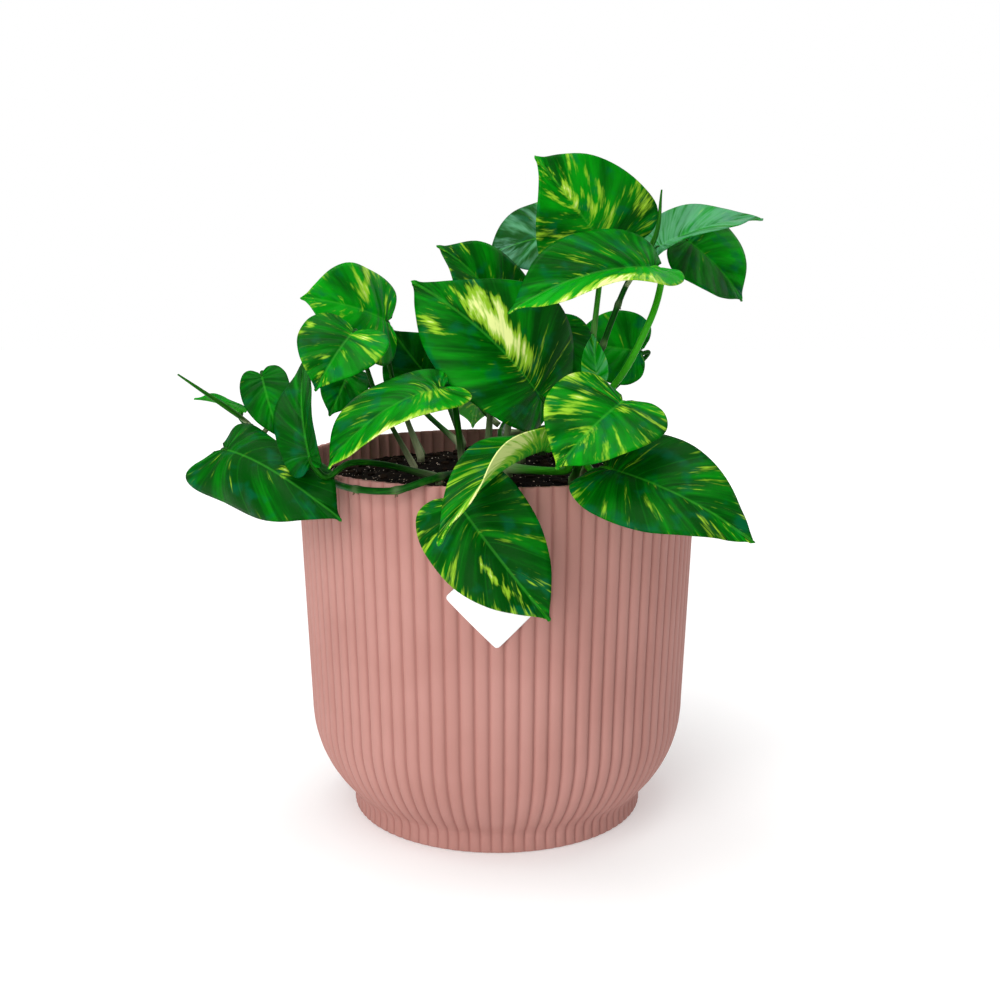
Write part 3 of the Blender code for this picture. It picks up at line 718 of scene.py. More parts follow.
# Leaves: base and run (base to tip) from the rim's centre, the way the upper side looks,
# width, droop of the midrib, fold along it, curl of the margins and twist (degrees), and the
# petiole's root (a vine and a share of its length, or a place on the soil) and waypoints.
# under says how far the petiole comes from below the blade rather than from behind it.
LEAVES = (
    dict(name="left_high", base=(-0.048, -0.004, 0.060), run=(-0.036, -0.018, 0.011),
         faces=(0.15, -0.8, 0.6), width=0.050, droop=35, fold=8, curl=20, twist=0,
         root=(-0.034, -0.010), via=((-0.046, -0.008, 0.034),), under=1.0),
    dict(name="left_heart", base=(-0.059, -0.044, 0.058), run=(-0.014, -0.020, -0.023),
         faces=(-0.1, -0.85, 0.5), width=0.038, droop=30, fold=15, curl=10, twist=0,
         root=(-0.036, -0.026), via=((-0.050, -0.036, 0.028),), under=1.0),
    dict(name="left_tall", base=(-0.074, -0.076, 0.008), run=(-0.006, 0.040, 0.039),
         faces=(-0.5, -0.8, 0.1), width=0.024, droop=30, fold=30, curl=10, twist=0,
         root=(-0.024, -0.048), via=((-0.0460, -0.0600, 0.0045), (-0.0590, -0.0690, 0.0065)), under=1.0),
    dict(name="left_small", base=(-0.104, -0.010, 0.037), run=(0.009, -0.012, -0.027),
         faces=(-0.1, -0.7, 0.7), width=0.022, droop=40, fold=10, curl=20, twist=0,
         root=("left", 0.93), via=(), under=1.0),
    dict(name="left_sliver", base=(-0.115, 0.000, 0.020), run=(-0.020, -0.006, 0.006),
         faces=(0.1, 0.0, 1.0), width=0.014, droop=30, fold=20, curl=0, twist=0,
         root=("left", 0.95), via=(), under=1.0),
    dict(name="left_low", base=(-0.115, -0.044, 0.009), run=(0.054, -0.040, -0.023),
         faces=(-0.15, -0.7, 0.75), width=0.048, droop=50, fold=0, curl=60, twist=0,
         root=("left", 0.88), via=(), under=1.0),
    dict(name="left_rear", base=(-0.067, 0.010, 0.037), run=(-0.008, -0.015, -0.019),
         faces=(0.3, -0.6, 0.7), width=0.022, droop=20, fold=10, curl=10, twist=0,
         root=(-0.034, 0.002), via=((-0.045, 0.006, 0.020),), under=1.0),
    dict(name="mid_strap", base=(-0.021, -0.066, 0.037), run=(-0.045, -0.020, -0.030),
         faces=(-0.3, -0.45, 0.85), width=0.042, droop=55, fold=12, curl=15, twist=0,
         root=(-0.014, -0.044), via=(), under=1.0),
    dict(name="mid_broad", base=(0.020, -0.036, 0.028), run=(-0.056, 0.000, 0.050),
         faces=(0.50, -0.70, 0.48), width=0.062, droop=40, fold=18, curl=5, twist=-62,
         root=(0.010, -0.024), via=(), under=1.0),
    dict(name="mid_shade", base=(-0.028, 0.030, 0.027), run=(-0.021, -0.010, 0.028),
         faces=(-0.3, -0.9, 0.2), width=0.040, droop=20, fold=10, curl=10, twist=0,
         root=(-0.016, 0.022), via=(), under=1.0),
    dict(name="mid_high", base=(0.004, -0.002, 0.060), run=(-0.030, -0.010, 0.033),
         faces=(0.1, -0.75, 0.6), width=0.044, droop=60, fold=10, curl=10, twist=15,
         root=(-0.004, -0.006), via=(), under=1.0),
    dict(name="mid_gloss", base=(0.031, 0.028, 0.098), run=(-0.036, 0.002, -0.010),
         faces=(-0.2, -0.6, 0.8), width=0.052, droop=30, fold=10, curl=10, twist=0,
         root=(0.004, 0.010), via=((0.012, 0.022, 0.045),), under=1.0),
    dict(name="crown", base=(0.050, 0.000, 0.089), run=(-0.034, -0.020, 0.041),
         faces=(-0.1, -0.9, 0.1), width=0.058, droop=60, fold=10, curl=10, twist=30,
         root=("up", 0.52), via=(), under=1.0),
    dict(name="crown_front", base=(0.066, -0.040, 0.084), run=(-0.062, -0.022, -0.018),
         faces=(0.1, -0.5, 0.87), width=0.046, droop=45, fold=18, curl=0, twist=0,
         root=("up", 0.20), via=((0.050, -0.034, 0.035), (0.063, -0.038, 0.060)), under=1.0),
    dict(name="right_shade", base=(0.066, 0.020, 0.045), run=(-0.034, 0.010, 0.003),
         faces=(0.0, -0.9, 0.4), width=0.036, droop=20, fold=10, curl=10, twist=0,
         root=(0.034, 0.018), via=((0.048, 0.024, 0.020),), under=1.0),
    dict(name="right_wing", base=(0.070, 0.002, 0.092), run=(0.049, 0.008, 0.013),
         faces=(-0.2, -0.45, 0.9), width=0.032, droop=30, fold=20, curl=0, twist=0,
         root=("up", 0.92), via=(), under=1.0),
    dict(name="right_rear", base=(0.086, 0.020, 0.096), run=(0.027, 0.000, -0.028),
         faces=(0.3, -0.6, 0.6), width=0.050, droop=30, fold=10, curl=10, twist=0,
         root=("up", 1.00), via=(), under=1.0),
    dict(name="heart_shade", base=(0.022, -0.006, 0.060), run=(-0.002, -0.016, -0.039),
         faces=(0.1, -0.75, 0.65), width=0.040, droop=30, fold=10, curl=10, twist=0,
         root=(0.012, -0.004), via=((0.014, 0.000, 0.030),), under=1.0),
    dict(name="heart_new", base=(0.041, -0.055, 0.038), run=(-0.002, 0.005, 0.019),
         faces=(-0.3, -0.9, 0.1), width=0.012, droop=10, fold=30, curl=0, twist=0,
         root=("up", 0.34), via=(), under=1.0),
    dict(name="heart", base=(0.049, -0.082, 0.033), run=(-0.027, -0.024, -0.023),
         faces=(-0.1, -0.7, 0.7), width=0.048, droop=30, fold=12, curl=10, twist=0,
         root=(0.036, -0.036), via=((0.042, -0.058, 0.014),), under=1.0),
    dict(name="right_low", base=(0.042, -0.087, 0.008), run=(0.054, -0.027, -0.024),
         faces=(0.1, -0.7, 0.7), width=0.048, droop=35, fold=8, curl=15, twist=0,
         root=(0.032, -0.048), via=((0.034, -0.070, 0.007),), under=0.6),
    dict(name="front_low", base=(-0.016, -0.098, -0.003), run=(0.036, -0.018, -0.043),
         faces=(-0.2, -0.95, 0.25), width=0.044, droop=35, fold=8, curl=15, twist=-10,
         root=(-0.004, -0.056), via=((-0.008, -0.078, 0.005), (-0.014, -0.090, 0.006)), under=0.0),
    dict(name="front_fold", base=(0.021, -0.073, 0.015), run=(-0.042, -0.069, -0.026),
         faces=(-0.5, -0.35, 0.8), width=0.030, droop=35, fold=40, curl=0, twist=0,
         root=(0.004, -0.042), via=(), under=1.0),
    dict(name="back_mid", base=(-0.008, 0.060, 0.023), run=(-0.005, 0.050, -0.025),
         faces=(0.0, 0.6, 0.8), width=0.044, droop=40, fold=10, curl=10, twist=0,
         root=("back", 0.30), via=(), under=1.0),
    dict(name="back_right", base=(0.045, 0.050, 0.018), run=(0.035, 0.038, -0.022),
         faces=(0.5, 0.5, 0.75), width=0.046, droop=40, fold=10, curl=10, twist=10,
         root=("back", 0.20), via=(), under=1.0),
    dict(name="back_left", base=(-0.038, 0.048, 0.021), run=(-0.034, 0.036, -0.025),
         faces=(-0.4, 0.5, 0.8), width=0.044, droop=40, fold=10, curl=10, twist=-10,
         root=(-0.018, 0.036), via=(), under=1.0),
)

# Young leaves still rolled to a spike: root as above, waypoints, tip.
SPIKES = (
    dict(name="left", root=("left", 1.0), via=((-0.118, -0.022, 0.024),), tip=(-0.135, -0.034, 0.039)),
    dict(name="crown", root=("up", 0.80), via=((0.068, -0.013, 0.096),), tip=(0.070, -0.017, 0.116)),
)

print("vines:", len(VINES), "leaves:", len(LEAVES), "rolled leaves:", len(SPIKES))

# %% [markdown]
# ## Routes of the stems
# A stem follows a smooth curve through a few places. The curve is the same one that the
# fixed model uses, only read at more points, so each fine stem lies inside its solid.
# %% Stem routes
VINE_RADIUS = 0.0018
PETIOLE_BASE_RADIUS = 0.0006
PETIOLE_SLENDERNESS = 0.014
ROOT_CLEARANCE = 0.0010
BLADE_CLEARANCE = 0.0008
COLLAR_SHARE = 0.036
APPROACH_SHARE = 0.11
FIT_GAP = 0.0003
VINE_POINTS = 18


def from_rim(place):
    """A place counted from the rim's centre, in the part's own frame."""
    x, y, z = place
    return Vector((x * SPREAD, y * SPREAD, RIM_HEIGHT + z * SPREAD))


def smooth_route(points, count):
    """Points along a smooth curve through the given points."""
    ends = [points[0] * 2 - points[1], *points, points[-1] * 2 - points[-2]]
    route = []
    for step in range(count):
        reached = (len(points) - 1) * step / (count - 1)
        index = min(int(reached), len(points) - 2)
        t = reached - index
        before, start, stop, after = ends[index:index + 4]
        route.append(0.5 * (2 * start + (stop - before) * t
                            + (2 * before - 5 * start + 4 * stop - after) * t ** 2
                            + (3 * start - before - 3 * stop + after) * t ** 3))
    return route


def vine_middle(place):
    """The vine's middle where place is its side towards the pot."""
    side = from_rim(place)
    outward = Vector((side.x, side.y, 0.0)).normalized()
    return side + (outward + Vector((0.0, 0.0, 1.0))) * VINE_RADIUS


def vine_route(name, count=VINE_POINTS):
    """Points along a vine's middle, from the soil to its growing end."""
    first, *rest = VINES[name]
    x, y = first[0] * SPREAD, first[1] * SPREAD
    start = Vector((x, y, soil_height(x, y) + ROOT_CLEARANCE))
    lift = start + Vector((0.0, 0.0, VINE_RADIUS))
    return [start] + smooth_route([lift] + [vine_middle(place) for place in rest], count - 1)


def along(route, share):
    """The point and direction a share of the way along a route."""
    reached = share * (len(route) - 1)
    index = min(int(reached), len(route) - 2)
    step = route[index + 1] - route[index]
    return route[index] + step * (reached - index), step.normalized()


def stem_start(root, towards, radius):
    """The first two points of a stem that leaves a vine or the soil."""
    if isinstance(root[0], str):
        point, direction = along(vine_route(root[0]), root[1])
        if root[1] == 1.0:
            out, start = direction, point + direction * FIT_GAP
        else:
            out = towards - point
            out = (out - out.dot(direction) * direction).normalized()
            start = point + out * (VINE_RADIUS + FIT_GAP)
        return [start, start + out * 2 * radius]
    x, y = root[0] * SPREAD, root[1] * SPREAD
    start = Vector((x, y, soil_height(x, y) + ROOT_CLEARANCE))
    return [start, start + Vector((0.0, 0.0, 2 * radius))]


print("left vine starts at", [round(v, 4) for v in vine_route("left")[0]])

# %% [markdown]
# ## A skin for stems
# A stem is a row of rings along its route. A curve object with a bevel could do it, but a
# stem here changes thickness at every joint and has a groove or a seam, so the rings are
# laid one by one. Each ring keeps the last one's turn as far as it can, so the skin never
# twists. The map called stalk runs along the stem and round it, for the finishes to read.
# %% Stem skin
CENTIMETRES = 100.0           # per metre, the unit of the maps that finishes read


def stem_skin(name, route, radii, sides=12, section=None, facing=None):
    """A closed tube along a route. section(turn, share) scales each ring's outline, and
    turn 0 looks the way that facing does."""
    lengths = [0.0]
    for near, far in zip(route, route[1:]):
        lengths.append(lengths[-1] + (far - near).length)
    side_way = facing or (route[1] - route[0]).orthogonal()
    places, faces = [], []
    for index, (middle, radius) in enumerate(zip(route, radii)):
        ahead = (route[min(index + 1, len(route) - 1)] - route[max(index - 1, 0)]).normalized()
        side_way = (side_way - side_way.dot(ahead) * ahead).normalized()
        up_way = ahead.cross(side_way)
        for side in range(sides):
            turn = side / sides * math.tau
            grow = section(turn, lengths[index] / lengths[-1]) if section else 1.0
            places.append(middle + (side_way * math.cos(turn) + up_way * math.sin(turn)) * radius * grow)
    marks = []
    for index in range(len(route) - 1):
        near_length, far_length = lengths[index] * CENTIMETRES, lengths[index + 1] * CENTIMETRES
        for side in range(sides):
            corner, beside = index * sides + side, index * sides + (side + 1) % sides
            faces.append((corner, beside, beside + sides, corner + sides))
            left, right = side / sides, (side + 1) / sides
            marks.extend([near_length, left, near_length, right, far_length, right, far_length, left])
    last = (len(route) - 1) * sides
    faces.append(tuple(reversed(range(sides))))
    faces.append(tuple(range(last, last + sides)))
    marks.extend([0.0, 0.5] * sides)
    marks.extend([lengths[-1] * CENTIMETRES, 0.5] * sides)
    mesh = mesh_of(name, places, faces)
    mesh.uv_layers.new(name="stalk").data.foreach_set("uv", marks)
    return mesh


def add_numbers(mesh, name, values):
    """Keep one number per point, for a finish to read."""
    mesh.attributes.new(name, "FLOAT", "POINT").data.foreach_set("value", values)


print("stem skin ready")

# %% [markdown]
# ## Finish of the stems
# Vines and stalks are smooth and slightly glossy, with fine lines running along them. A
# young stalk is pale, nearly white, where it leaves the soil, and each joint of a vine has
# a paler ring. Two numbers per point, pale and tone, say where that is so.
# %% Stem finish
OLIVE = (0.04, 0.16, 0.01, 1.0)
SHEATH_CREAM = (0.66, 0.68, 0.42, 1.0)


def stem_finish(name, dark, bright):
    """A finish for stems whose green runs from dark to bright along fine lines."""
    made, tree, shader = start_finish(name)
    stalk = flat_map(tree, "stalk")
    lines = grain(tree, stalk, 1.0, 3.0, 0.55, (0.9, 16.0, 1.0))
    blotch = grain(tree, stalk, 1.0, 2.0, 0.5, (2.2, 2.0, 1.0))
    light = plus(tree, number(tree, "tone"), swing(tree, lines, 1.2))
    green = tint(tree, span(tree, light, 0.0, 1.0), dark, bright)
    green = tint(tree, span(tree, blotch, 0.55, 0.75, 0.0, 0.35), green, OLIVE)
    whitened = times(tree, number(tree, "pale"), span(tree, lines, 0.25, 0.6, 0.7, 1.0))
    green = tint(tree, whitened, green, SHEATH_CREAM)
    feed(tree, shader, Base_Color=green, Roughness=span(tree, lines, 0.25, 0.75, 0.30, 0.44))
    shader.inputs["Specular IOR Level"].default_value = 0.06
    relief(tree, shader, lines, 0.00018, 0.6)
    return made


vine_green = stem_finish("vine_green", (0.000, 0.022, 0.001, 1.0), (0.003, 0.120, 0.002, 1.0))
stalk_green = stem_finish("stalk_green", (0.000, 0.030, 0.001, 1.0), (0.030, 0.300, 0.006, 1.0))
rolled_green = stem_finish("rolled_green", (0.002, 0.060, 0.002, 1.0), (0.040, 0.260, 0.010, 1.0))
print("stem finishes:", vine_green.name, stalk_green.name, rolled_green.name)

# %% [markdown]
# ## The vines
# A pothos vine swells at each joint, where a leaf stalk and an air root start. The joints
# sit about two centimetres apart. The ring of the swelling is narrow, so the radius rises
# sharply there; between joints the vine tapers a little towards its growing end.
# %% Grow the vines
JOINT_SPACING = 0.019
JOINT_REACH = 0.0017
JOINT_SWELL = 0.26            # share by which a joint is thicker than the vine
JOINT_PALE = 0.08
VINE_POINTS_FINE = 130
VINE_SIDES = 16
VINE_SLIMMING = 0.86          # leaves room for the joints inside the vine's radius
VINE_TAPER = 0.22
VINE_TONE = 0.35


def vine_swell(reached):
    """How much thicker the vine is at a distance along it: 1 at a joint, 0 between."""
    off = (reached + JOINT_SPACING / 2) % JOINT_SPACING - JOINT_SPACING / 2
    return math.exp(-(off / JOINT_REACH) ** 2)


vine_joints = []
for name in VINES:
    route = vine_route(name, VINE_POINTS_FINE)
    reached, radii, swells = 0.0, [], []
    for index, place in enumerate(route):
        if index:
            before = reached
            reached += (place - route[index - 1]).length
            if int(before / JOINT_SPACING) != int(reached / JOINT_SPACING):
                vine_joints.append((place, (place - route[index - 1]).normalized()))
        swells.append(vine_swell(reached))
        taper = 1.0 - VINE_TAPER * index / (VINE_POINTS_FINE - 1)
        radii.append(VINE_RADIUS * VINE_SLIMMING * taper * (1.0 + JOINT_SWELL * swells[-1]))
    mesh = stem_skin("vine_stem_" + name, route, radii, VINE_SIDES)
    add_numbers(mesh, "pale", np.repeat(np.array(swells) * JOINT_PALE, VINE_SIDES))
    add_numbers(mesh, "tone", np.full(len(mesh.vertices), VINE_TONE))
    place_piece("vine_stem_" + name, mesh, "vine", [vine_green], "vine_" + name)
print("vines grown:", len(VINES), "joints:", len(vine_joints))

# %% [markdown]
# ## Air roots
# At each joint the vine pushes out two short brown nubs, the starts of air roots.
# They are small cones with a blunt end, each set to the underside of its joint.
# %% Air roots
ROOT_DARK = (0.030, 0.018, 0.007, 1.0)
ROOT_BROWN = (0.16, 0.10, 0.045, 1.0)
NUB_FOOT, NUB_END = 0.00055, 0.00022
NUB_LEANS = (-0.7, 0.6)       # to the vine's one side and to its other
UP = Vector((0.0, 0.0, 1.0))
crusty, tree, shader = start_finish("air_root_brown")
crust = grain(tree, shape_place(tree), 2500.0, 3.0, 0.6)
feed(tree, shader, Base_Color=tint(tree, crust, ROOT_DARK, ROOT_BROWN),
     Roughness=span(tree, crust, 0.2, 0.8, 0.6, 0.85))
relief(tree, shader, crust, 0.0002, 0.7)
draw = random.Random(71)
nubs = bmesh.new()
for joint, ahead in vine_joints:
    for lean in NUB_LEANS:
        out = (ahead.cross(UP).normalized() * lean - UP).normalized()
        tall = draw.uniform(0.0012, 0.0022)
        turn = out.to_track_quat("Z", "Y").to_matrix().to_4x4()
        middle = joint + out * (VINE_RADIUS * VINE_SLIMMING + tall * 0.25)
        bmesh.ops.create_cone(nubs, cap_ends=True, segments=10, radius1=NUB_FOOT, radius2=NUB_END,
                              depth=tall, matrix=Matrix.Translation(middle) @ turn)
nub_mesh = bpy.data.meshes.new("air_roots")
nubs.to_mesh(nub_mesh)
nubs.free()
nub_mesh.shade_smooth()
place_piece("air_roots", nub_mesh, "vine", [crusty])
print("air roots:", len(NUB_LEANS) * len(vine_joints))

# %% [markdown]
# ## The shape of a leaf
# A pothos leaf is a heart with a deep notch at its stalk and a drawn-out tip. Its side veins
# leave the midrib and sweep towards the tip. The sheet is laid out along those veins: one
# row of points per vein line, from the midrib out to the margin, so that the relief and the
# cream streaks can both follow the veins. The outline is read from a few points by the same
# smooth curve as the stems.
# %% Leaf outline
# Each row: how far along the leaf its margin lies, how far out (1 is the widest place), and
# how far along the midrib its vein starts.
LEAF_OUTLINE = (
    (-0.055, 0.10, 0.000), (-0.105, 0.38, 0.012), (-0.090, 0.72, 0.030), (0.060, 0.96, 0.060),
    (0.270, 1.00, 0.115), (0.490, 0.91, 0.210), (0.700, 0.66, 0.360), (0.855, 0.33, 0.570),
    (0.940, 0.105, 0.785), (0.990, 0.012, 0.960),
)
LEAF_ROWS = 46
HALF_COLUMNS = 14
VEINS_PER_SIDE = 9
VEIN_SWEEP = 1.25             # over 1, a vein starts out sideways and bends to the tip
SWEEP_ROWS = 8                # rows beside the notch over which the sweep comes in


def outline_rows(count):
    """(margin along, margin out, vein start) for each row from the notch to the tip."""
    return smooth_route([Vector(row) for row in LEAF_OUTLINE], count)


print("outline rows:", len(outline_rows(LEAF_ROWS)))

# %% [markdown]
# ## Bending the flat leaf
# A leaf is never flat. Its midrib droops in an arc from the stalk, its halves fold up along
# the midrib, its margins curl, and it twists towards its tip. One function carries a point
# of the flat leaf to its place on the bent one; it is the fixed model's own rule, so the
# fine sheet lies in the middle of its solid.
# %% Leaf bending
def blade_axes(leaf):
    """Axes of a blade: along the run, to its left, and out of its upper side."""
    forward = Vector(leaf["run"]).normalized()
    upper = Vector(leaf["faces"])
    upper = (upper - upper.dot(forward) * forward).normalized()
    return Matrix((forward, upper.cross(forward), upper)).transposed()


def bent_place(leaf, along_midrib, out):
    """Where a point of the flat leaf lies once it has drooped, folded, curled and twisted."""
    chord = Vector(leaf["run"]).length * SPREAD
    droop = math.radians(leaf["droop"])
    bow = chord / (2 * math.sin(droop / 2))
    pitch = droop / 2 - droop * along_midrib
    middle = Vector((bow * (math.sin(droop / 2) - math.sin(pitch)), 0.0,
                     bow * (math.cos(pitch) - math.cos(droop / 2))))
    normal = Vector((math.sin(pitch), 0.0, math.cos(pitch)))
    half = leaf["width"] * SPREAD / 2
    fold = math.radians(leaf["fold"])
    curl = math.radians(max(leaf["curl"], 1))
    lean = fold - curl * abs(out)
    level = math.copysign(half * (math.sin(fold) - math.sin(lean)) / curl, out)
    rise = half * (math.cos(lean) - math.cos(fold)) / curl
    turn = math.radians(leaf["twist"]) * along_midrib
    aside = level * math.cos(turn) - rise * math.sin(turn)
    above = level * math.sin(turn) + rise * math.cos(turn)
    return middle + Vector((0.0, aside, 0.0)) + normal * above


def blade_place(leaf, along_midrib, out):
    """The same point in the part's own frame."""
    return from_rim(leaf["base"]) + blade_axes(leaf) @ bent_place(leaf, along_midrib, out)


def leaf_size(leaf):
    """Length from base to tip, and half the width."""
    return Vector(leaf["run"]).length * SPREAD, leaf["width"] * SPREAD / 2


longest = max(leaf_size(leaf)[0] for leaf in LEAVES)
print("longest leaf:", round(longest * 1000, 1), "mm from base to tip")

# %% [markdown]
# ## How each leaf is marked
# No two leaves of this plant are marked alike. Each entry says how bright its green is, how
# freely it is flecked, and where its large splashes lie: place along the midrib, place out
# from it (left is positive), reach along and out, and strength. margins gives the light
# margin on the left and right side, left_tone a brighter left half, and sheen a painted
# sheen, the pale reflection of the sky on a glossy leaf.
# %% Markings
# Part of each tone is painted light and shade: a leaf's green is raised or lowered for the light that falls
# on it.
# tone: 0 is the deep green, 1 the bright one. cream: 0.1 gives few flecks, 0.35 many.
MARKS = {
    "crown": dict(tone=0.46, cream=0.30, margins=(0.1, 0.0),
                  splashes=((0.62, -0.06, 0.12, 0.08, 0.50), (0.48, -0.20, 0.09, 0.08, 0.34),
                            (0.55, -0.45, 0.12, 0.08, 0.24), (0.40, 0.50, 0.20, 0.25, 0.08))),
    "crown_front": dict(tone=0.28, cream=0.12, margins=(0.9, 0.0), left_tone=0.50,
                        splashes=((0.40, 0.75, 0.30, 0.28, 0.80), (0.45, -0.35, 0.14, 0.16, 0.30))),
    "mid_broad": dict(tone=0.28, cream=0.12, margins=(0.1, 0.0),
                      splashes=((0.45, -0.20, 0.30, 0.16, 1.10), (0.60, -0.42, 0.16, 0.10, 0.70),
                                (0.75, 0.35, 0.06, 0.06, 0.60))),
    "mid_strap": dict(tone=0.35, cream=0.20, margins=(1.0, 0.1), left_tone=0.25,
                      splashes=((0.12, 0.30, 0.12, 0.40, 0.30), (0.55, 0.85, 0.30, 0.16, 0.40))),
    "mid_gloss": dict(tone=0.15, cream=0.08, margins=(0.1, 0.1), sheen=0.50, splashes=()),
    "mid_high": dict(tone=0.22, cream=0.20, margins=(0.1, 0.1),
                     splashes=((0.45, -0.45, 0.12, 0.18, 0.25),)),
    "mid_shade": dict(tone=0.25, cream=0.10, margins=(0.0, 0.0), splashes=()),
    "heart": dict(tone=0.30, cream=0.30, margins=(0.1, 0.5),
                  splashes=((0.12, 0.15, 0.07, 0.16, 0.50), (0.30, -0.50, 0.18, 0.16, 0.35))),
    "heart_new": dict(tone=0.65, cream=0.20, margins=(0.2, 0.2), sheen=0.45, splashes=()),
    "heart_shade": dict(tone=0.25, cream=0.08, margins=(0.0, 0.0), splashes=()),
    "right_shade": dict(tone=0.45, cream=0.15, margins=(0.0, 0.0), splashes=()),
    "right_low": dict(tone=0.18, cream=0.18, margins=(0.1, 0.3),
                      splashes=((0.58, 0.50, 0.14, 0.20, 0.24), (0.75, -0.30, 0.12, 0.20, 0.14))),
    "right_wing": dict(tone=0.66, cream=0.05, margins=(0.0, 0.0), sheen=0.60, splashes=()),
    "right_rear": dict(tone=0.45, cream=0.05, margins=(0.0, 0.0), sheen=0.20, splashes=()),
    "front_low": dict(tone=0.08, cream=0.20, margins=(0.1, 0.55),
                      splashes=((0.55, -0.28, 0.14, 0.06, 0.80), (0.72, -0.20, 0.04, 0.04, 0.50))),
    "front_fold": dict(tone=0.30, cream=0.25, margins=(0.6, 0.1), left_tone=0.50,
                       splashes=((0.45, 0.60, 0.40, 0.50, 0.90),)),
    "left_high": dict(tone=0.60, cream=0.25, margins=(0.1, 0.3),
                      splashes=((0.28, -0.60, 0.06, 0.30, 0.65),)),
    "left_heart": dict(tone=0.38, cream=0.25, margins=(0.1, 0.2), left_tone=0.22,
                       splashes=((0.08, 0.40, 0.05, 0.30, 0.65), (0.20, -0.85, 0.06, 0.10, 0.60))),
    "left_tall": dict(tone=0.10, cream=0.04, margins=(0.0, 0.0), sheen=0.32, splashes=()),
    "left_small": dict(tone=0.25, cream=0.05, margins=(0.0, 0.0), sheen=0.25, splashes=()),
    "left_sliver": dict(tone=0.55, cream=0.05, margins=(0.0, 0.0), splashes=()),
    "left_low": dict(tone=0.04, cream=0.09, margins=(0.0, 0.25), sheen=0.05,
                     splashes=((0.55, 0.10, 0.04, 0.16, 0.85),)),
    "left_rear": dict(tone=0.22, cream=0.05, margins=(0.0, 0.0), splashes=()),
    "back_mid": dict(tone=0.50, cream=0.35, margins=(0.2, 0.2), splashes=((0.5, 0.4, 0.15, 0.15, 0.4),)),
    "back_right": dict(tone=0.40, cream=0.28, margins=(0.2, 0.2), splashes=((0.4, -0.4, 0.15, 0.15, 0.5),)),
    "back_left": dict(tone=0.45, cream=0.32, margins=(0.2, 0.2), splashes=((0.6, 0.3, 0.12, 0.15, 0.5),)),
}
print("marked leaves:", len(MARKS))

# %% [markdown]
# ## The relief of a leaf
# The sheet starts at the bent places. Each point then moves a little along the surface's
# own normal: down into the midrib's groove, up between the side veins, and in slow waves
# near the margin. All leaves share one flat layout of points, so it is worked out once.
# %% Points and relief of a leaf
GROOVE_DEPTH = 0.0006
GROOVE_WIDTH = 0.0012
QUILT_HEIGHT = 0.00030
MARGIN_WAVE = 0.0014
SWELL_HEIGHT = 0.0012
USUAL_LENGTH = 0.055          # a leaf this long has relief of just these heights


def flat_points():
    """(along, out, row share, signed share) of every point of a flat blade, tip last."""
    points = []
    for index, (edge_along, edge_out, vein) in enumerate(outline_rows(LEAF_ROWS)):
        for column in range(-HALF_COLUMNS, HALF_COLUMNS + 1):
            share = abs(column) / HALF_COLUMNS
            swept = share ** (1.0 + (VEIN_SWEEP - 1.0) * min(index / SWEEP_ROWS, 1.0))
            place = vein + (edge_along - vein) * swept
            points.append((place, math.copysign(edge_out * share, column),
                           index / (LEAF_ROWS - 1), math.copysign(share, column)))
    return [*points, (1.0, 0.0, 1.0, 0.0)]


FLAT_POINTS = flat_points()


def surface_lift(leaf, draw):
    """How far each point stands over the smooth bent sheet."""
    length, half = leaf_size(leaf)
    scale = min(length / USUAL_LENGTH, 1.2)
    phases = {1: draw.uniform(0, math.tau), -1: draw.uniform(0, math.tau)}
    beat = draw.uniform(1.6, 2.6)
    where = Vector((draw.uniform(0, 50), draw.uniform(0, 50), draw.uniform(0, 50)))
    lifts = []
    for place, out, vein, share in FLAT_POINTS:
        off, side = abs(share), 1 if share >= 0 else -1
        groove = -GROOVE_DEPTH * math.exp(-(out * half / (GROOVE_WIDTH * scale)) ** 2)
        groove *= 1.0 - 0.7 * place
        ridge = abs(math.sin(math.pi * VEINS_PER_SIDE * vein))
        quilt = QUILT_HEIGHT * (ridge ** 0.6 - 0.6)
        quilt *= min(off * 5, 1.0) * min((1.0 - off) * 6 + 0.25, 1.0)
        wave = MARGIN_WAVE * off ** 2.5 * math.sin(beat * math.tau * vein + phases[side])
        wave *= min(vein * 8, 1.0) * min((1.0 - vein) * 4, 1.0)
        swell = SWELL_HEIGHT * noise.noise(where + Vector((place * 2.2, out * 1.6, 0.0)))
        swell *= min(off * 3, 1)
        lifts.append(scale * (groove + quilt + wave + swell))
    return lifts


print("points of a leaf:", len(FLAT_POINTS))

# %% [markdown]
# ## Marking a leaf
# A fleck of cream needs no geometry, only a number at each point that says how freely the
# leaf turns cream there. Gauss-shaped hills lie over the splashes, and the number rises
# near a light margin. The finish turns these numbers into ragged streaks later.
# %% Numbers for the markings
MARGIN_FROM = 0.78            # share of the way out where a light margin starts
MIDDLE_STRIP = 0.04           # the left half's own tone starts just beside the midrib


def marking(mark, place, out, share):
    """The (cream, tone, sheen) of one point, from its leaf's entry in the markings."""
    cream = mark["cream"]
    for at, aside, reach, wide, strength in mark["splashes"]:
        cream += strength * math.exp(-((place - at) / reach) ** 2 - ((out - aside) / wide) ** 2)
    margin = mark["margins"][0 if share > 0 else 1]
    margin *= max(0.0, (abs(share) - MARGIN_FROM) / (1.0 - MARGIN_FROM)) ** 1.5
    tone = mark["tone"] + (mark.get("left_tone", 0.0) if share > MIDDLE_STRIP else 0.0)
    return cream + 0.5 * margin, tone + 0.25 * margin, mark.get("sheen", 0.0)


print("cream at the crown leaf's middle:", round(marking(MARKS["crown"], 0.5, 0.0, 0.0)[0], 3))

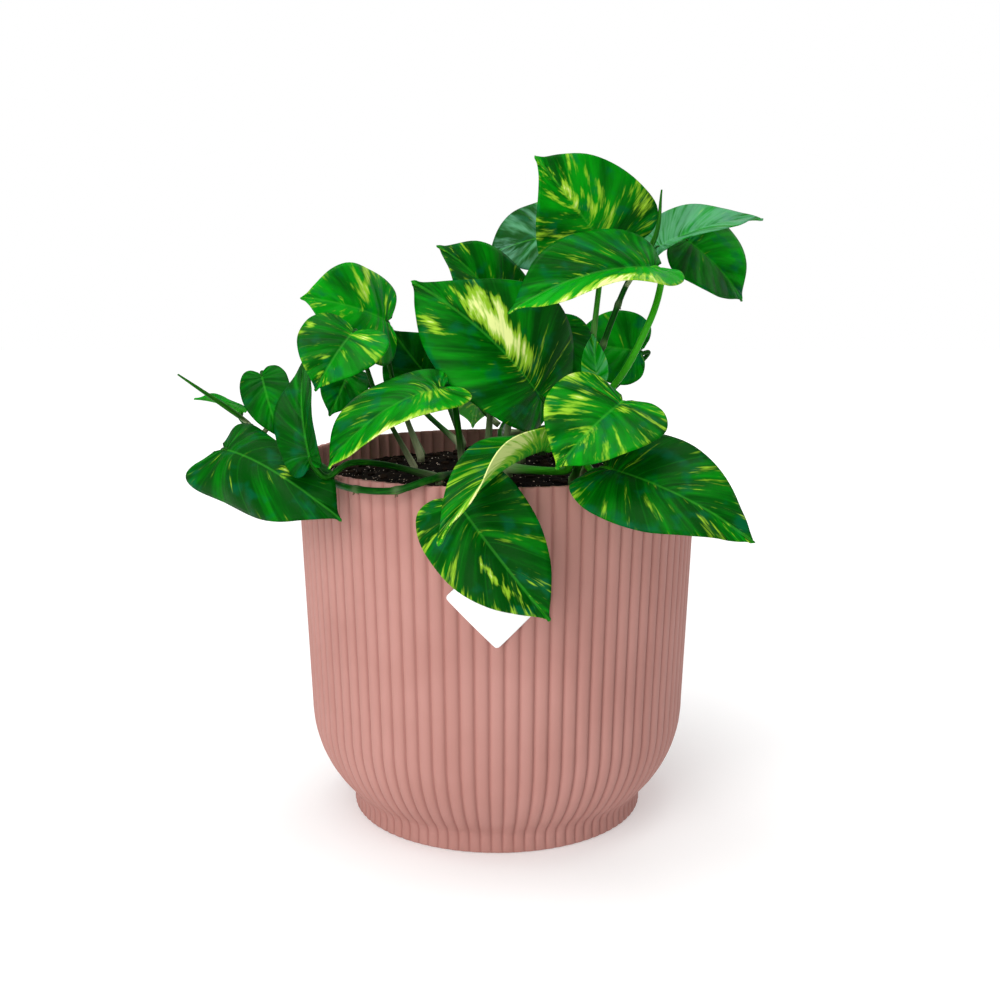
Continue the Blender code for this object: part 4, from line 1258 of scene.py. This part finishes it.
# %% [markdown]
# ## Laying the sheet
# The faces join each row of points to the next, and a fan closes the tip. The points are
# lifted in one step with numpy, which is far quicker than a loop over the mesh.
# %% Leaf builder
STREAKS_PER_METRE = 660.0
STREAK_STRETCH = 0.10         # the streaks are ten times longer than wide
SEED_STEP = 11.0              # moves each leaf to its own part of the noise


def leaf_faces():
    """Four-sided faces between the rows, and triangles at the tip."""
    width = 2 * HALF_COLUMNS + 1
    faces = []
    for row in range(LEAF_ROWS - 1):
        for column in range(width - 1):
            corner = row * width + column
            faces.append((corner, corner + width, corner + width + 1, corner + 1))
    tip = len(FLAT_POINTS) - 1
    last = (LEAF_ROWS - 1) * width
    faces.extend((last + column, tip, last + column + 1) for column in range(width - 1))
    return faces


def leaf_maps(leaf, apart):
    """The three flat maps of a leaf, one pair of numbers per point."""
    length, half = leaf_size(leaf)
    across = half * STREAKS_PER_METRE * STREAK_STRETCH
    maps = {"veins": [], "streaks": [], "flat": []}
    for place, out, vein, share in FLAT_POINTS:
        maps["veins"].append((vein * VEINS_PER_SIDE, 0.5 + share / 2))
        maps["streaks"].append((vein * length * STREAKS_PER_METRE + apart, share * across + apart))
        maps["flat"].append((place * length * CENTIMETRES + apart, out * half * CENTIMETRES))
    return maps


def leaf_mesh(leaf, seed):
    """The upper sheet of one leaf in the part's frame, with its maps and numbers."""
    places = [blade_place(leaf, place, out) for place, out, vein, share in FLAT_POINTS]
    mesh = mesh_of("leaf_" + leaf["name"], places, leaf_faces())
    normals = np.zeros(len(places) * 3)
    mesh.vertex_normals.foreach_get("vector", normals)
    lifts = np.array(surface_lift(leaf, random.Random(seed)))
    moved = np.array([tuple(place) for place in places]) + normals.reshape(-1, 3) * lifts[:, None]
    mesh.vertices.foreach_set("co", moved.ravel())
    corner_points = np.zeros(len(mesh.loops), dtype=np.int32)
    mesh.loops.foreach_get("vertex_index", corner_points)
    for name, values in leaf_maps(leaf, seed * SEED_STEP).items():
        layer = mesh.uv_layers.new(name=name)
        layer.data.foreach_set("uv", np.array(values)[corner_points].ravel())
    mark = MARKS[leaf["name"]]
    numbers = np.array([marking(mark, place, out, share) for place, out, vein, share in FLAT_POINTS])
    for column, name in enumerate(("cream", "tone", "sheen")):
        add_numbers(mesh, name, numbers[:, column])
    return mesh


print("leaf builder ready:", LEAF_ROWS, "rows of", 2 * HALF_COLUMNS + 1, "points")

# %% [markdown]
# ## The colours of a leaf
# Variegated leaves carry three greens: a deep one, a bright one and a blue-green in shaded
# patches, over which yellow-green and cream streaks run out along the veins. The streaks
# are noise stretched along the vein direction; each point's cream number sets how much of
# the noise turns cream, so splashes have ragged, streaky edges.
# %% Leaf colours
DEEP_GREEN = (0.000, 0.050, 0.0012, 1.0)
BRIGHT_GREEN = (0.001, 0.270, 0.003, 1.0)
BLUE_GREEN = (0.000, 0.090, 0.034, 1.0)
YELLOW_GREEN = (0.30, 0.55, 0.025, 1.0)
PALE_CREAM = (0.74, 0.80, 0.30, 1.0)


def leaf_greens(tree, streaks, flat, fine):
    """The ground colour: deep to bright along the streaks, with blue-green patches."""
    patch = grain(tree, streaks, 0.16, 3.0, 0.55)
    # The tone number is partly the leaf's own green and partly painted light and shade.
    light = plus(tree, number(tree, "tone"), swing(tree, patch, 1.5))
    light = plus(tree, light, swing(tree, fine, 1.3))
    green = tint(tree, span(tree, light, 0.0, 1.0), DEEP_GREEN, BRIGHT_GREEN)
    shade = grain(tree, flat, 1.1, 2.0)
    return tint(tree, span(tree, shade, 0.52, 0.72, 0.0, 0.6), green, BLUE_GREEN)


def leaf_streaks(tree, streaks, green):
    """Lay yellow-green streaks with cream cores over the green. Also returns the cores."""
    fleck = times(tree, grain(tree, streaks, 0.62, 4.0, 0.62), 0.68)
    dab = times(tree, grain(tree, streaks, 1.7, 2.0, 0.5), 0.32)
    rise = plus(tree, plus(tree, fleck, dab), times(tree, number(tree, "cream"), 0.34))
    halo = span(tree, rise, 0.63, 0.75)
    core = span(tree, rise, 0.75, 0.88)
    green = tint(tree, times(tree, halo, 0.8), green, YELLOW_GREEN)
    return tint(tree, core, green, PALE_CREAM), core


print("leaf colour helpers ready")

# %% [markdown]
# ## Veins, painted sheen and relief
# The side veins and the midrib are a little lighter than the skin between them. Leaves with a
# sheen number get a painted sheen, patches of the sky's pale reflection, and the underside is
# lighter and duller all over. The relief joins the quilting between the veins with the fine cells of the
# skin.
# %% Leaf finishes
VEIN_GREEN = (0.01, 0.26, 0.01, 1.0)
MIDRIB_GREEN = (0.04, 0.36, 0.02, 1.0)
PAINTED_SHEEN_GREEN = (0.14, 0.34, 0.24, 1.0)
UNDER_GREEN = (0.06, 0.30, 0.03, 1.0)


def leaf_finish(name, underside=False):
    """The finish of a leaf's upper side, or of its underside."""
    made, tree, shader = start_finish(name)
    veins, streaks, flat = (flat_map(tree, title) for title in ("veins", "streaks", "flat"))
    fine = grain(tree, streaks, 0.55, 3.0, 0.6)
    green, core = leaf_streaks(tree, streaks, leaf_greens(tree, streaks, flat, fine))

    vein_way = add(tree, "ShaderNodeSeparateXYZ", {0: veins}).outputs["X"]
    out_way = add(tree, "ShaderNodeSeparateXYZ", {0: flat}).outputs["Y"]
    line = maths(tree, "ABSOLUTE", maths(tree, "SINE", times(tree, vein_way, math.pi)))
    side_vein = span(tree, line, 0.0, 0.16, 1.0, 0.0)
    midrib = span(tree, maths(tree, "ABSOLUTE", out_way), 0.02, 0.07, 1.0, 0.0)
    green = tint(tree, times(tree, side_vein, 0.14), green, VEIN_GREEN)
    green = tint(tree, times(tree, midrib, 0.30), green, MIDRIB_GREEN)
    # Painted sheen: a pale reflection of the sky on the leaves given a sheen number.
    painted_sheen = span(tree, times(tree, fine, number(tree, "sheen")), 0.20, 0.34, 0.0, 0.50)
    green = tint(tree, painted_sheen, green, PAINTED_SHEEN_GREEN)

    quilt = plus(tree, times(tree, line, 0.55), times(tree, fine, 0.45))
    cells = grain(tree, flat, 60.0, 3.0, 0.6)
    height = plus(tree, times(tree, quilt, 0.85), times(tree, cells, 0.15))
    dull = plus(tree, span(tree, fine, 0.2, 0.8, 0.26, 0.40), times(tree, core, 0.10))
    if underside:
        green = tint(tree, 0.30, green, UNDER_GREEN)
        dull = plus(tree, dull, 0.20)
    feed(tree, shader, Base_Color=green, Roughness=dull)
    shader.inputs["Specular IOR Level"].default_value = 0.035
    relief(tree, shader, height, 0.0007, 0.6)
    return made


leaf_upper = leaf_finish("variegated_leaf")
leaf_under = leaf_finish("leaf_underside", underside=True)
print("leaf finishes:", leaf_upper.name, leaf_under.name)

# %% [markdown]
# ## Giving the leaf its body
# Solidify turns the sheet into a closed body. Its thickness follows a vertex group: full at
# the midrib, which stands out as a rib under the leaf, and thin everywhere else. The
# underside takes its own paler finish.
# %% Grow the leaves
LEAF_THICKNESS = 0.0004
MIDRIB_THICKNESS = 0.0016
RIB_REACH = 0.0009


def rib_weights(leaf):
    """Share of the full thickness at each point: a rib under the midrib, thin at the margin."""
    length, half = leaf_size(leaf)
    thin = LEAF_THICKNESS / MIDRIB_THICKNESS
    weights = []
    for place, out, vein, share in FLAT_POINTS:
        rib = math.exp(-(out * half / RIB_REACH) ** 2) * (1.0 - 0.75 * max(place, 0.0))
        weights.append(thin + (1.0 - thin) * rib)
    return weights


for seed, leaf in enumerate(LEAVES, start=1):
    mesh = leaf_mesh(leaf, seed)
    piece = place_piece("leaf_" + leaf["name"], mesh, "blade", [leaf_upper, leaf_under],
                        "blade_" + leaf["name"])
    group = piece.vertex_groups.new(name="thickness")
    for index, weight in enumerate(rib_weights(leaf)):
        group.add([index], weight, "REPLACE")
    body = piece.modifiers.new("body", "SOLIDIFY")
    body.thickness = MIDRIB_THICKNESS
    body.offset = -1.0
    body.vertex_group = "thickness"
    body.material_offset = 1
    body.material_offset_rim = 0
print("leaves grown:", len(LEAVES))

# %% [markdown]
# ## The leaf stalks
# A stalk rises from the soil or a joint, and its foot is a pale sheath wrapped round the
# stem. It has a groove along its upper side. Just before the leaf it thickens into a soft
# knee, bends, and runs on into the midrib under the blade. The route is the fixed model's,
# taken on until it meets the leaf.
# %% Stalk shape
STALK_POINTS = 44
STALK_SIDES = 14
JOIN_SHARE = 0.045            # how far along the blade the stalk runs on under it
SOIL_SHEATH, JOINT_SHEATH = 0.55, 0.25
KNEE_SWELL = 0.16
GROOVE_SHARE = 0.16


def stalk_route(leaf):
    """The fine route of a leaf's stalk, its radius, and the way its groove faces."""
    axes = blade_axes(leaf)
    droop = math.radians(leaf["droop"]) / 2
    forward = axes @ Vector((math.cos(droop), 0.0, math.sin(droop)))
    upper = axes @ Vector((-math.sin(droop), 0.0, math.cos(droop)))
    length, half = leaf_size(leaf)
    radius = PETIOLE_BASE_RADIUS + PETIOLE_SLENDERNESS * length
    end = from_rim(leaf["base"]) - forward * COLLAR_SHARE * length - upper * (radius + BLADE_CLEARANCE)
    approach = end - (forward * 0.5 + upper * leaf["under"]) * APPROACH_SHARE * length
    waypoints = [*(from_rim(place) for place in leaf["via"]), approach]
    first = stem_start(leaf["root"], waypoints[0], radius)
    join = blade_place(leaf, JOIN_SHARE, 0.0) - upper * radius * 0.75
    route = [first[0]] + smooth_route([first[1], *waypoints, end, join], STALK_POINTS - 1)
    return route, radius, upper


def stalk_radius(radius, share, on_soil):
    """Thick at the sheath round its foot and at the knee, thin where it joins the leaf."""
    swell, reach = (SOIL_SHEATH, 0.10) if on_soil else (JOINT_SHEATH, 0.08)
    sheath = swell * math.exp(-(share / reach) ** 2)
    knee = KNEE_SWELL * math.exp(-((share - 0.90) / 0.05) ** 2)
    ending = 0.38 * max(0.0, (share - 0.95) / 0.05)
    return radius * (0.94 + sheath + knee - ending)


def stalk_section(turn, share):
    """A shallow groove along the side that turn 0 looks at, gone at the stalk's end."""
    off = math.atan2(math.sin(turn), math.cos(turn))
    return 1.0 - GROOVE_SHARE * math.exp(-(off / 0.42) ** 2) * (1.0 - share ** 6)


thickest = max(stalk_route(leaf)[1] for leaf in LEAVES) * 2
print("thickest stalk:", round(thickest * 1000, 2), "mm across")

# %% [markdown]
# ## Growing the stalks
# Most stalks are a middling green with a slightly pale foot. Those in full light get a
# painted-light brighter green, and a few have a foot that is nearly white; both are listed by leaf.
# %% Grow the stalks
USUAL_PALENESS = 0.25
PALE_REACH = 0.09
PALE_FOOT = {"mid_strap": 0.9, "left_heart": 0.8, "left_high": 0.7, "heart": 0.7, "heart_new": 0.9,
             "front_fold": 0.5, "back_left": 0.6}
USUAL_TONE = 0.22
# Painted light: stalks that stand in full light get a brighter green.
LIT_STALK_TONE = {"crown_front": 0.95, "crown": 0.6, "heart": 0.6, "right_low": 0.7,
              "front_fold": 0.7, "heart_new": 0.8}
shares = [index / (STALK_POINTS - 1) for index in range(STALK_POINTS)]
for leaf in LEAVES:
    name = leaf["name"]
    route, radius, upper = stalk_route(leaf)
    on_soil = not isinstance(leaf["root"][0], str)
    radii = [stalk_radius(radius, share, on_soil) for share in shares]
    mesh = stem_skin("stalk_" + name, route, radii, STALK_SIDES, stalk_section, upper)
    paleness = PALE_FOOT.get(name, USUAL_PALENESS)
    pale = [paleness * math.exp(-(share / PALE_REACH) ** 2) for share in shares]
    add_numbers(mesh, "pale", np.repeat(pale, STALK_SIDES))
    add_numbers(mesh, "tone", np.full(len(mesh.vertices), LIT_STALK_TONE.get(name, USUAL_TONE)))
    place_piece("stalk_" + name, mesh, "petiole", [stalk_green], "petiole_" + name)
print("stalks grown:", len(LEAVES))

# %% [markdown]
# ## Leaves that are still rolled
# A new leaf comes out as a tight roll. Its section is a spiral: the radius grows once round
# and steps back at the seam, and the seam winds slowly up the roll. It is the lightest
# green of the plant.
# %% Grow the rolled leaves
ROLL_POINTS = 60
ROLL_SIDES = 32
SEAM_TURN = 0.45              # turns that the seam winds from foot to tip
SEAM_STEP = 0.20
ROLL_TONE = 0.3


def rolled_section(turn, share):
    """A spiral: the outline grows once round and steps back at the seam."""
    wound = (turn / math.tau + SEAM_TURN * share) % 1.0
    return 0.86 + SEAM_STEP * wound


shares = [index / (ROLL_POINTS - 1) for index in range(ROLL_POINTS)]
for spike in SPIKES:
    tip = from_rim(spike["tip"])
    waypoints = [from_rim(place) for place in spike["via"]]
    radius = PETIOLE_BASE_RADIUS * 2
    first = stem_start(spike["root"], (waypoints + [tip])[0], radius)
    route = [first[0]] + smooth_route([first[1], *waypoints, tip], ROLL_POINTS - 1)
    radii = [radius * (0.25 + 0.75 * math.sin(math.pi * (0.25 + 0.72 * share))) for share in shares]
    mesh = stem_skin("rolled_leaf_skin_" + spike["name"], route, radii, ROLL_SIDES, rolled_section)
    pale = [0.35 * math.exp(-(share / 0.15) ** 2) for share in shares]
    add_numbers(mesh, "pale", np.repeat(pale, ROLL_SIDES))
    add_numbers(mesh, "tone", np.full(len(mesh.vertices), ROLL_TONE))
    place_piece("rolled_leaf_skin_" + spike["name"], mesh, "rolled_leaf", [rolled_green],
                "rolled_leaf_" + spike["name"])
print("rolled leaves grown:", len(SPIKES))

# %% [markdown]
# ## Size and finish
# The last cell measures the room that the fine plant takes and prints it beside the fixed model's.
# %% Measure and finish
visual_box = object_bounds()
boxes = {"fixed": [list(corner) for corner in CAD_BOX], "fine": [list(corner) for corner in visual_box]}
for name, box in boxes.items():
    print(name, [[round(value, 4) for value in corner] for corner in box])
